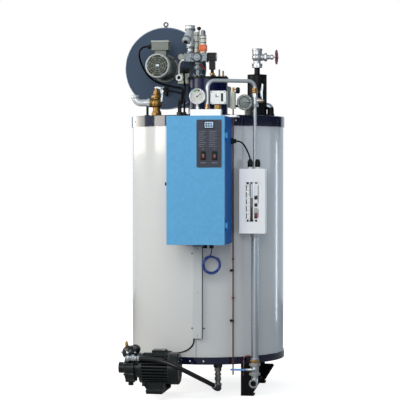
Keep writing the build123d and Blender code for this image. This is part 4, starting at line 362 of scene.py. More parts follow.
# Bare pressed steel: bright, with soft patches
LEVER = Finish("pressed steel", "lever_steel", "#B3B5B7", 0.26, metallic=1.0, drift=0.08, patch_mm=20,
               spread=0.08)
# Charcoal front sheet of the controls: matt, so that its print can be read
PANEL = Finish("matt film, charcoal", "panel_grey", "#272A37", 0.50, drift=0.05, patch_mm=50, grain_mm=0.6,
               bump_mm=0.02, shine=0.3)
# Printed marks on that sheet: grey lines, just bright enough to look printed
MARKS = Finish("printed film, grey", "panel_grey", "#5C6270", 0.50, drift=0.10, patch_mm=6)
# Pale blue display: a glossy pane with a faint glow
DISPLAY = Finish("display pane, pale blue", "display_glass", "#7FA6C0", 0.18, drift=0.05, patch_mm=20,
                 coat=0.4, glow=0.05)
# Dark red moulding of switches and lever: smooth with a soft gleam
ROCKER = Finish("moulded plastic, red", "rocker_red", "#641212", 0.34, drift=0.06, patch_mm=12,
                bump_mm=0.01)
# Black moulding: dull, with a fine grain
MOULDED = Finish("moulded plastic, black", "black_plastic", "#0F1011", 0.44, drift=0.10, patch_mm=20,
                 grain_mm=0.7, bump_mm=0.04, shine=0.16)
# Pale moulding: off white with a soft gleam
PALE = Finish("moulded plastic, pale", "pale_plastic", "#D6DAD8", 0.34, drift=0.03, patch_mm=30,
              grain_mm=0.8, bump_mm=0.02)
# White printed dial: flat and even
DIAL = Finish("printed dial, white", "pale_plastic", "#BFC0BA", 0.30, drift=0.01, patch_mm=20, grain_mm=0.8,
              bump_mm=0.0)
# Black enamelled iron of the pump: rough casting under thick paint, its edges painted pale as a painted
# highlight
IRON = Finish("enamelled cast iron, black", "pump_black", "#0C1112", 0.24, drift=0.2, patch_mm=24,
              grain_mm=3.0, bump_mm=0.06, shine=0.32, edge_mm=2.5, edge_wear_and_highlight=0.6, edge_paling=24.0)
# Painted shade between the pump's fins: black without a gleam
GROOVE_SHADE = Finish("enamelled cast iron, painted groove shade", "pump_black", "#090B0B", 0.7, shine=0.06)
# Rubber of the feed hose: black with a long gleam, and the weave as fine grain
RUBBER = Finish("braided rubber, black", "hose_rubber", "#090A0B", 0.22, drift=0.12, patch_mm=30,
                grain_mm=1.1, bump_mm=0.02, shine=0.35)
# Sheath of the thin cables: dull black
SHEATH = Finish("vinyl sheath, black", "hose_rubber", "#050506", 0.42, drift=0.12, patch_mm=30,
                bump_mm=0.02, shine=0.08)
# Blue nylon tube: deep colour with a thin bright line along it
NYLON = Finish("nylon tube, blue", "blue_tube", "#17357F", 0.26, drift=0.10, patch_mm=40, bump_mm=0.01)
# Orange moulding of the valve coil: one warm spot among the greys
ORANGE = Finish("moulded plastic, orange", "pale_plastic", "#CC560F", 0.40, drift=0.05, patch_mm=10)
# Green zone of the dial: flat print
GREEN = Finish("printed film, green", "pale_plastic", "#2FA05A", 0.40, drift=0.02, patch_mm=10)
# White rubber of the air tube: it glows faintly, painted light that keeps it bright in the shade
SILICONE_GLOW = Finish("silicone tube, white, painted glow", "pale_plastic", "#FBFCFC", 0.30, drift=0.02, patch_mm=20,
                  glow=0.1)
# Glass tube with air in it: pale, with a wet gleam
GAUGE_AIR = Finish("gauge glass, empty", "glass", "#C6CED0", 0.08, drift=0.04, patch_mm=20, bump_mm=0.0,
                   coat=0.6)
# Glass tube with dark boiler water in it: nearly black, with the same gleam
GAUGE_WATER = Finish("gauge glass, water", "glass", "#2A221D", 0.08, drift=0.08, patch_mm=20, bump_mm=0.0,
                     coat=0.6)


def dress(node: str, finish: Finish, patches: Sequence[tuple[Finish, Chooser]] = ()) -> bpy.types.Object:
    """Give a node of the part its finish, and parts of it another one.

    Args:
        node: Name of the node.
        finish: Finish of the whole node.
        patches: Other finishes with the test of the faces that take them.

    Returns:
        The node's object.
    """
    thing = frame["nodes"][node]
    mesh = thing.data
    mesh.materials.clear()
    mesh.materials.append(finish.material())
    for number, (other, wanted) in enumerate(patches, 1):
        mesh.materials.append(other.material())
        for face in mesh.polygons:
            if wanted(face.center / MM, face.normal):
                face.material_index = number
    return thing


@dataclass(frozen=True)
class Collar:
    """A nut or a round collar on an upright pipe; lengths are in mm.

    Attributes:
        low: Height of its lower face.
        high: Height of its upper face.
        radius: Radius, over the corners of a nut.
        sides: Number of sides.
        edge: Rounding of the rims.
    """

    low: float
    high: float
    radius: float
    sides: int = 6
    edge: float = 1.0


@dataclass(frozen=True)
class Bead:
    """A round bead on an upright pipe; lengths are in mm.

    Attributes:
        z: Height of its middle line.
        radius: Radius of its middle line.
        thick: Radius of its section.
        sides: Steps round the ring.
    """

    z: float
    radius: float
    thick: float
    sides: int


class Shaper:
    """Gathers plain solids in one mesh; lengths are in mm in the part's frame."""

    def __init__(self) -> None:
        """Start with an empty mesh."""
        self.mesh = bmesh.new()

    def _soften(self, verts: Sequence[bmesh.types.BMVert], edge: float) -> None:
        """Round the sharp edges of a new solid.

        Args:
            verts: Vertices of the solid.
            edge: Radius of the rounding.
        """
        if edge <= 0:
            return
        sharp = {line for vert in verts for line in vert.link_edges
                 if len(line.link_faces) == 2 and line.calc_face_angle(0) > ROUNDED}
        bmesh.ops.bevel(self.mesh, geom=list(sharp), offset=edge, offset_type="OFFSET", segments=2,
                        profile=0.5, affect="EDGES", clamp_overlap=True, material=-1)

    def _take(self, part: bmesh.types.BMesh, place: Matrix) -> "Shaper":
        """Turn the faces of a spun shape outwards, put it in its place and add it.

        Args:
            part: Mesh of the shape, which is freed.
            place: Turn and place of the shape.

        Returns:
            The shaper.
        """
        bmesh.ops.recalc_face_normals(part, faces=part.faces[:])
        part.transform(place)
        held = bpy.data.meshes.new("held")
        part.to_mesh(held)
        part.free()
        self.mesh.from_mesh(held)
        bpy.data.meshes.remove(held)
        return self

    def rod(self, start: Point, end: Point, radius: float, sides: int = 32, tip: Optional[float] = None,
            edge: float = 0.0) -> "Shaper":
        """Add a round, hexagonal or tapered bar.

        Args:
            start: Middle of one end.
            end: Middle of the other end.
            radius: Radius at the start.
            sides: Number of sides.
            tip: Radius at the end, if it differs.
            edge: Rounding of the rims.

        Returns:
            The shaper.
        """
        low, high = Vector(start), Vector(end)
        run = high - low
        turn = run.to_track_quat("Z", "Y").to_matrix().to_4x4()
        made = bmesh.ops.create_cone(self.mesh, cap_ends=True, cap_tris=False, segments=sides, radius1=radius,
                                     radius2=radius if tip is None else tip, depth=run.length,
                                     matrix=Matrix.Translation((low + high) / 2) @ turn)
        self._soften(made["verts"], edge)
        return self

    def block(self, low: Point, high: Point, edge: float = 0.0) -> "Shaper":
        """Add a box.

        Args:
            low: Lowest corner.
            high: Highest corner.
            edge: Rounding of the edges.

        Returns:
            The shaper.
        """
        size = Vector(high) - Vector(low)
        matrix = Matrix.Translation((Vector(low) + Vector(high)) / 2) @ Matrix.Diagonal((*size, 1))
        made = bmesh.ops.create_cube(self.mesh, size=1.0, matrix=matrix)
        self._soften(made["verts"], edge)
        return self

    def bar(self, start: Point, end: Point, wide: float, deep: float, face: Point = FRONT) -> "Shaper":
        """Add a flat bar between two points.

        Args:
            start: Middle of one end, on the surface.
            end: Middle of the other end, on the surface.
            wide: Width of the bar.
            deep: How far it stands out.
            face: Direction that its flat side faces.

        Returns:
            The shaper.
        """
        along = Vector(end) - Vector(start)
        out = Vector(face).normalized()
        side = out.cross(along).normalized()
        turn = Matrix((along.normalized(), side, out)).transposed().to_4x4()
        middle = (Vector(start) + Vector(end)) / 2 + out * deep / 2
        size = Matrix.Diagonal((along.length, wide, deep, 1))
        bmesh.ops.create_cube(self.mesh, size=1.0, matrix=Matrix.Translation(middle) @ turn @ size)
        return self

    def lathe(self, origin: Point, axis: Point, profile: Outline, sides: int = 48) -> "Shaper":
        """Turn a profile round an axis.

        Args:
            origin: Where the axis starts.
            axis: Direction of the axis.
            profile: Pairs of radius and distance along the axis.
            sides: Steps round the axis.

        Returns:
            The shaper.
        """
        part = bmesh.new()
        line = [part.verts.new((radius, 0, along)) for radius, along in profile]
        edges = [part.edges.new(pair) for pair in zip(line, line[1:])]
        bmesh.ops.spin(part, geom=line + edges, cent=(0, 0, 0), axis=(0, 0, 1), angle=math.tau, steps=sides,
                       use_merge=True)
        bmesh.ops.remove_doubles(part, verts=part.verts[:], dist=1e-4)
        turn = Vector(axis).to_track_quat("Z", "Y").to_matrix().to_4x4()
        return self._take(part, Matrix.Translation(origin) @ turn)

    def arch(self, middle: Point, reach: float, radius: float) -> "Shaper":
        """Add half a ring of tube that stands upright and faces the front.

        Args:
            middle: Middle of the ring.
            reach: Radius of its middle line.
            radius: Radius of the tube.

        Returns:
            The shaper.
        """
        part = bmesh.new()
        bmesh.ops.create_circle(part, segments=16, radius=radius, matrix=Matrix.Translation((reach, 0, 0)))
        bmesh.ops.spin(part, geom=part.verts[:] + part.edges[:], cent=(0, 0, 0), axis=FRONT, angle=math.pi,
                       steps=24)
        return self._take(part, Matrix.Translation(middle))

    def ring(self, middle: Point, axis: Point, radius: float, thick: float, sides: int = 64) -> "Shaper":
        """Add a round ring.

        Args:
            middle: Middle of the ring.
            axis: Direction it faces.
            radius: Radius of its middle line.
            thick: Radius of its section.
            sides: Steps round the ring.

        Returns:
            The shaper.
        """
        turns = [math.tau * i / 12 for i in range(13)]
        section = [(radius + thick * math.cos(a), thick * math.sin(a)) for a in turns]
        return self.lathe(middle, axis, section, sides)

    def collars(self, x: float, y: float, shapes: Sequence[Collar], foot: float = 0.0) -> "Shaper":
        """Add collars on an upright pipe.

        Args:
            x: X of the pipe.
            y: Y of the pipe.
            shapes: The collars.
            foot: Height that theirs are measured from.

        Returns:
            The shaper.
        """
        for shape in shapes:
            self.rod((x, y, foot + shape.low), (x, y, foot + shape.high), shape.radius, shape.sides,
                     edge=shape.edge)
        return self

    def beads(self, x: float, y: float, shapes: Sequence[Bead]) -> "Shaper":
        """Add beads on an upright pipe.

        Args:
            x: X of the pipe.
            y: Y of the pipe.
            shapes: The beads.

        Returns:
            The shaper.
        """
        for shape in shapes:
            self.ring((x, y, shape.z), UP, shape.radius, shape.thick, shape.sides)
        return self

    def bolt(self, at: Point, axis: Point, across: float) -> "Shaper":
        """Add a hexagon head on its washer.

        Args:
            at: Point on the surface.
            axis: Direction that the head faces.
            across: Width across flats.

        Returns:
            The shaper.
        """
        foot, way = Vector(at), Vector(axis).normalized()
        washer_r, washer_top, head_r, head_top = (across * share for share in (0.78, 0.14, 0.577, 0.66))
        self.rod(foot - way * SUNK, foot + way * washer_top, washer_r, 24, edge=across * 0.03)
        return self.rod(foot + way * across * 0.1, foot + way * head_top, head_r, 6, edge=across * 0.05)

    def screw(self, at: Point, axis: Point, radius: float) -> "Shaper":
        """Add a round screw head.

        Args:
            at: Point on the surface.
            axis: Direction that the head faces.
            radius: Radius of the head.

        Returns:
            The shaper.
        """
        start = Vector(at) - Vector(axis).normalized() * SUNK
        return self.lathe(start, axis, [(radius * wide, radius * high) for wide, high in SCREW_HEAD], 20)

    def piece(self, name: str, finish: Finish, body: Body = Body.BASE) -> bpy.types.Object:
        """Turn the mesh into a piece of the object.

        Args:
            name: Name of the piece.
            finish: Its finish.
            body: Body that it rides on.

        Returns:
            The new object.
        """
        mesh = bpy.data.meshes.new(name)
        self.mesh.transform(Matrix.Scale(MM, 4))
        self.mesh.to_mesh(mesh)
        self.mesh.free()
        mesh.shade_smooth()
        mesh.set_sharp_from_angle(angle=SHARP)
        mesh.materials.append(finish.material())
        made = bpy.data.objects.new(name, mesh)
        bpy.context.collection.objects.link(made)
        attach(made, body.value)
        return made


@dataclass(frozen=True)
class Cord:
    """A free cord that stands for solids of the part.

    Attributes:
        name: Name of the piece.
        nodes: Nodes that it replaces.
        points: Control points in mm.
        radius: Radius in mm.
        length: Length in mm; not used.
        finish: Its finish.
        far_end: What the far end is; not used.
        stiffness: How stiff it is; not used.
        lay: How it lies; not used.
    """

    name: str
    nodes: tuple[str, ...]
    points: tuple[Point, ...]
    radius: float
    length: float
    finish: Finish
    far_end: FarEnd = FarEnd.OBJECT
    stiffness: Stiffness = Stiffness.LIMP
    lay: Lay = Lay.HANGING

    def build(self) -> bpy.types.Object:
        """Returns:
            The new object.
        """
        curve = bpy.data.curves.new(self.name, "CURVE")
        curve.dimensions = "3D"
        curve.bevel_depth = self.radius * MM
        curve.bevel_resolution = 5
        curve.resolution_u = 10
        curve.use_fill_caps = True
        line = curve.splines.new("NURBS")
        line.points.add(len(self.points) - 1)
        for point, (x, y, z) in zip(line.points, self.points):
            point.co = (x * MM, y * MM, z * MM, 1.0)
        line.order_u = 3
        line.use_endpoint_u = True
        curve.materials.append(self.finish.material())
        made = bpy.data.objects.new(self.name, curve)
        bpy.context.collection.objects.link(made)
        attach(made, Body.BASE.value)
        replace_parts(made, *self.nodes)
        return made


@dataclass
class Cords:
    """Feed hose, cables, air tube and the spare coil of blue tube.

    Attributes:
        cable_r: Radius of the thin cables in mm.
        burner_r: Radius of the burner's cables in mm.
        hose_r: Radius of the feed hose in mm.
        air_r: Radius of the air tube in mm.
        tube_r: Radius of the spare tube in mm.
        coil: Middle of the coil in mm.
        coil_r: Radius of the coil in mm.
        turns: Turns of the coil.
        pitch: Distance between turns in mm.
        steps: Control points in a turn.
        sway: How far a turn leaves the coil's radius in mm.
        sway_rate: Swings of the radius in a turn.
    """

    cable_r: float = 3.8
    burner_r: float = 4.8
    hose_r: float = 11.0
    air_r: float = 4.0
    tube_r: float = 3.0
    coil: Point = (84.0, -446.0, 641.0)
    coil_r: float = 40.0
    turns: float = 3.75
    pitch: float = 6.4
    steps: int = 14
    sway: float = 4.6
    sway_rate: float = 0.62

    def coil_points(self) -> tuple[Point, ...]:
        """Lead the spare tube down and wind it.

        Returns:
            Control points in mm.
        """
        x, y, z = self.coil
        front = y - self.pitch * self.turns / 2
        points = [(86.0, -450.0, 719.0), (86.0, -450.0, 704.0), (83.0, -453.0, 690.0), (73.0, -456.0, 676.0),
                  (58.0, front - 1.0, 660.0)]
        for i in range(int(self.turns * self.steps)):
            turned = math.tau * i / self.steps
            wide = self.coil_r + self.sway * math.sin(self.sway_rate * turned)
            angle = math.pi + turned
            points.append((x + wide * math.cos(angle), front + self.pitch * i / self.steps,
                           z + wide * math.sin(angle)))
        return tuple(points)

    def feed_hose(self) -> None:
        """Make the hose from the pump to the boiler."""
        Cord("feed_hose_line", ("feed_hose",), (
            (-256.5, -532, 204), (-190, -534, 203), (-125, -540, 192), (-68, -542, 170), (-22, -526, 146),
            (18, -485, 118), (50, -415, 88), (84, -325, 52)),
            self.hose_r, 500, RUBBER, stiffness=Stiffness.MEDIUM).build()

    def small_cables(self) -> None:
        """Make the cables of the pump and of the water gauge."""
        Cord("pump_cable_line", ("pump_cable",), (
            (-114, -396, 216), (-84, -396, 216), (-54, -394, 223), (-28, -390, 237), (-14, -387.4, 254),
            (-8, -386, 271), (-8, -386, 285)), self.cable_r, 144, SHEATH).build()
        Cord("gauge_cable_line", ("gauge_cable",), (
            (199, -420, 1223), (214.5, -420, 1221.6), (228.5, -414.5, 1213), (240, -403, 1195),
            (249.5, -387, 1172), (256.5, -371.5, 1149), (258, -362.5, 1131), (258, -362.5, 1117)),
            self.cable_r, 150, SHEATH).build()

    def burner_cables(self) -> None:
        """Make the cables of the fan, the air switch and the ignition, and the white air tube."""
        Cord("fan_cable_line", ("fan_cable",), (
            (-299, -20, 1703), (-315.5, -20, 1703), (-331, -18.6, 1697.6), (-342, -15, 1686.4),
            (-347.6, -9.4, 1671.4), (-348.4, -1, 1654), (-344.5, 11, 1630), (-335, 26, 1602.5),
            (-322, 42.5, 1575.5), (-302, 59, 1550.5), (-274, 72, 1532), (-240, 81, 1519), (-204, 82, 1510.5),
            (-170, 68, 1504), (-142, 40, 1498.5), (-126, 0, 1491), (-117, -52, 1476.5), (-107.5, -130, 1452),
            (-98, -215, 1432), (-88, -295, 1422), (-81, -352, 1418.5), (-77.8, -385, 1415),
            (-76, -406.5, 1405), (-75.2, -419, 1390.5), (-75, -425, 1375), (-75, -425, 1360)),
            self.burner_r, 930, SHEATH).build()
        Cord("valve_cable_line", ("valve_cable",), (
            (-126, 52.33, 1587), (-126, 35, 1587), (-125, 18, 1581), (-122.5, 5.5, 1567),
            (-120.5, -1.5, 1548), (-118.5, -7, 1523), (-113, -20, 1503), (-106, -57, 1489), (-97, -128, 1469),
            (-84, -210, 1450), (-70, -290, 1438), (-59, -350, 1433), (-53, -386, 1427.5),
            (-49.7, -407.5, 1415), (-48.3, -419.5, 1398.5), (-48, -425, 1379.5), (-48, -425, 1360)),
            self.burner_r, 610, SHEATH).build()
        Cord("spark_cable_line", ("spark_cable",), (
            (-235, 81, 1496), (-235, 61, 1496), (-228, 43, 1492.5), (-211, 29, 1488), (-183, 18, 1482),
            (-154, 3, 1475), (-130, -24, 1468), (-117, -64, 1457), (-106, -130, 1438), (-95, -205, 1420),
            (-84, -280, 1408), (-75, -346, 1404), (-65.5, -384, 1411), (-63, -410, 1416), (-62.3, -429, 1412),
            (-61.9, -442, 1401.5), (-61.6, -449.5, 1387), (-61.5, -452, 1372), (-61.5, -452, 1360)),
            self.burner_r, 640, SHEATH).build()
        # The white air tube glows faintly: painted light
        Cord("air_tube_line", ("air_tube",), (
            (-108, -30, 1636), (-122, -28, 1634), (-133, -20, 1628.5), (-141.5, -7, 1620),
            (-147.5, 10, 1609.5), (-151.5, 28, 1598), (-154, 41.5, 1586), (-155, 49.5, 1572)),
            self.air_r, 122, SILICONE_GLOW).build()

    def spare_tube(self) -> None:
        """Make the spare tube with its coil."""
        Cord("spare_tube_line", ("spare_tube", "tube_coil"), self.coil_points(), self.tube_r, 930, NYLON,
             FarEnd.BARE, Stiffness.MEDIUM, Lay.COILED).build()

    def build(self) -> None:
        """Make all the cords."""
        self.feed_hose()
        self.small_cables()
        self.burner_cables()
        self.spare_tube()


def round_points(middle: Point, radius: float, count: int, start: float = 0,
                 plane: Plane = Plane.XY) -> list[Point]:
    """Spread points evenly on a circle.

    Args:
        middle: Middle of the circle in mm.
        radius: Its radius in mm.
        count: Number of points.
        start: Angle of the first point in degrees.
        plane: Plane of the circle.

    Returns:
        The points in mm.
    """
    x, y, z = middle
    turns = [math.radians(start + 360 * i / count) for i in range(count)]
    offsets = [(radius * math.cos(a), radius * math.sin(a)) for a in turns]
    if plane is Plane.XY:
        return [(x + u, y + v, z) for u, v in offsets]
    if plane is Plane.XZ:
        return [(x + u, y, z + v) for u, v in offsets]
    return [(x, y + u, z + v) for u, v in offsets]


@dataclass
class Shell:
    """Jacket, end bands, legs and flue.

    Attributes:
        jacket_r: Radius of the jacket.
        jacket_seam: Half width, lower end and upper end of the jacket's seams.
        band_r: Radius of the end bands.
        band_seam: Half width, lower end and upper end of the base band's seams.
        top_z: Height of the top band's screws.
        base_z: Height of the base band's screws.
        top_turns: Where the top band's screws sit, in degrees from the front.
        base_turns: Where the base band's screws sit.
        flue: Middle of the band round the flue's end.
        flue_band: Radius and distance along the flue of the band's outline.
        flange_y: Y of the flue flange's face.
        flange_r: Radius of the circle of its screws.
    """

    jacket_r: float = 375.0
    jacket_seam: Triple = (1, 195.2, 1297.8)
    band_r: float = 380.3
    band_seam: Triple = (0.8, 160.3, 194.7)
    top_z: float = 1324.0
    base_z: float = 176.0
    top_turns: Lengths = (-62, 29, 119, 209)
    base_turns: Lengths = (-4.5, 5.5, 175.5, 185.5)
    flue: Point = (0, 470, 1160)
    flue_band: Outline = ((75.2, -6), (77, -6), (77, 6), (75.2, 6), (75.2, -6))
    flange_y: float = 389.0
    flange_r: float = 88.0

    def seams(self) -> None:
        """Add the seams at the front and the back of the jacket and the base band."""
        strips = Shaper()
        for side in (-1, 1):
            for radius, lift, (half, low, high) in ((self.jacket_r, 0.35, self.jacket_seam),
                                                    (self.band_r, 0.3, self.band_seam)):
                near, far = sorted((side * (radius - 0.4), side * (radius + lift)))
                strips.block((-half, near, low), (half, far, high))
        strips.piece("jacket_seams", MOULDED)

    def build(self) -> None:
        """Dress the shell and add its seams and screws."""
        for node, finish in {"jacket_left": JACKET, "jacket_right": JACKET, "top_cover": BAND,
                             "base_pan": BAND, "legs": BLACK, "flue_spigot": ZINC}.items():
            dress(node, finish)
        self.seams()
        screws = Shaper()
        for z, turns in ((self.top_z, self.top_turns), (self.base_z, self.base_turns)):
            for turn in turns:
                x, y = math.sin(math.radians(turn)), -math.cos(math.radians(turn))
                screws.screw((x * self.band_r, y * self.band_r, z), (x, y, 0), 5)
        screws.piece("band_screws", LEVER)
        x, _, z = self.flue
        trim = Shaper().lathe(self.flue, BACK, self.flue_band, 64)
        for at in round_points((x, self.flange_y, z), self.flange_r, 8, 22.5, Plane.XZ):
            trim.screw(at, BACK, 4.5)
        trim.piece("flue_trim", ZINC)


@dataclass
class Burner:
    """Wind box, fan, its motor and the air switch.

    Attributes:
        fan: Middle of the fan's disc, on its front face.
        rim_r: Radius of the disc's rolled rim.
        eye: Height of the lifting eye's foot above the fan's axis.
        motor_front: Front face of the motor's cowl.
        grille_bars: Inner and outer end, width and depth of the grille's bars.
        grille_rings: Radii of the grille's rings.
        flange: Front face of the motor's flange.
        upright_bolts: Height, circle, count, first angle and width of the bolts that face up.
        terminal_z: Top of the terminal box.
        terminal_screws: X from the fan's axis and Y of the lid's screws.
        switch_screws: Where the air switch's screws are.
        spout: X and Z of the air switch's lower spout.
        boot: Top of the ignition lead's boot.
        clamp: Top of the clamp beside it.
    """

    fan: Point = (-233, 105, 1601)
    rim_r: float = 205.8
    eye: float = 209.0
    motor_front: float = -129.0
    grille_bars: Quad = (11, 50, 2.6, 1)
    grille_rings: Lengths = (19.5, 30.5, 41.5)
    flange: float = 95.0
    upright_bolts: tuple[tuple[float, float, int, float, float], ...] = (
        (1360, 107, 8, 22.5, 9), (1549, 90, 6, 0, 10))
    terminal_z: float = 1731.0
    terminal_screws: tuple[Pair, ...] = ((-36, -52), (36, -52), (-36, 12), (36, 12))
    switch_screws: tuple[Point, ...] = ((-112, 62, 1529), (-112, 62, 1565))
    spout: Pair = (-155, 1551)
    boot: Point = (-229, 97.2, 1503)
    clamp: Point = (-245, 100, 1503)

    def reach(self, at: Vector) -> float:
        """Measure how far a point is from the fan's axis.

        Args:
            at: Point in mm.

        Returns:
            Distance in mm.
        """
        return math.hypot(at.x - self.fan[0], at.z - self.fan[2])

    def dress_nodes(self) -> None:
        """Give the burner's nodes their finishes."""
        eye_z = self.fan[2] + self.eye
        face_y = self.motor_front + 0.5
        dress("wind_box", NAVY)
        dress("wind_box_lid", BLACK)
        dress("brass_fittings", BRONZE)
        dress("fan_housing", SLATE, [(MOULDED, lambda at, way: at.y > 231 and self.reach(at) < 88)])
        dress("fan_disc", SLATE, [
            (DARK, lambda at, way: at.z > eye_z),
            (RIM, lambda at, way: self.reach(at) > 206.5 and at.z < eye_z)])
        # The top of the terminal box takes the paler copy of the paint: painted light on its top
        dress("fan_motor", MOTOR, [(LIT_MOTOR_PAINT, lambda at, way: at.z > self.terminal_z - 8.5)])
        # The cowl takes the paler paint; inside its grille the faces are painted black and dark, painted
        # shade in the openings
        dress("motor_cowl", LIT_MOTOR_PAINT, [
            (MOULDED, lambda at, way: at.y > face_y and self.reach(at) < 50.5),
            (VENT_SHADE, lambda at, way: self.reach(at) < 46 and at.y < face_y)])
        # The ring of the air switch takes the glowing white rubber: painted light
        dress("air_switch", PUTTY, [
            (MOULDED, lambda at, way: at.z > 1572.5 and at.x > -147 and at.z < 1603),
            (SILICONE_GLOW, lambda at, way: at.y < 61.8)])

    def grille(self) -> None:
        """Add the bars and rings of the motor's cowl."""
        x, _, z = self.fan
        middle = (x, self.motor_front, z)
        inner, outer, wide, deep = self.grille_bars
        guard = Shaper()
        for near, far in zip(round_points(middle, inner, 8, 22.5, Plane.XZ),
                             round_points(middle, outer, 8, 22.5, Plane.XZ)):
            guard.bar(near, far, wide, deep)
        for radius in self.grille_rings:
            guard.ring(middle, BACK, radius, 1.2, 48)
        guard.piece("cowl_grille", MOTOR)

    def screws(self) -> None:
        """Add the screws of the cowl, the terminal box and the air switch."""
        x, _, z = self.fan
        middle = (x, self.motor_front, z)
        heads = Shaper()
        for at in round_points(middle, 55.5, 6, 0, Plane.XZ):
            heads.screw(at, FRONT, 2.8)
        heads.bolt(middle, FRONT, 11)
        for aside, y in self.terminal_screws:
            heads.screw((x + aside, y, self.terminal_z), UP, 3.2)
        for at in self.switch_screws:
            heads.screw(at, FRONT, 3)
        heads.piece("motor_screws", ZINC)

    def bolts(self) -> None:
        """Add the bolts of the motor's flange, the wind box and its lid."""
        x, _, z = self.fan
        heads = Shaper()
        for at in round_points((x, self.flange, z), 65.3, 4, 45, Plane.XZ):
            heads.bolt(at, FRONT, 7)
        for height, radius, count, start, across in self.upright_bolts:
            for at in round_points((0, 0, height), radius, count, start):
                heads.bolt(at, UP, across)
        heads.piece("burner_bolts", DARK)

    def build(self) -> None:
        """Dress the burner and add its trim."""
        self.dress_nodes()
        Shaper().ring(self.fan, BACK, self.rim_r, 2.4, 128).piece("disc_rim", RIM)
        self.grille()
        self.screws()
        self.bolts()
        x, z = self.spout
        nut = Shaper().rod((x, 46.4, z), (x, 41, z), 9, 6, edge=0.8)
        nut.rod((x, 41.4, z), (x, 38.5, z), 5, 16, edge=0.6).piece("ring_bolt", MOULDED)
        x, y, z = self.boot
        Shaper().rod((x, y, z), (x, y, z - 41), 8.4, 20, edge=1.5).piece("spark_boot", MOULDED)
        x, y, z = self.clamp
        Shaper().rod((x, y, z), (x, y, z - 30), 5.6, 20, edge=1).piece("spark_clamp", LEVER)
        Shaper().beads(0, 0, (Bead(1361, 99, 2.2, 96),)).piece("wind_box_weld", NAVY)


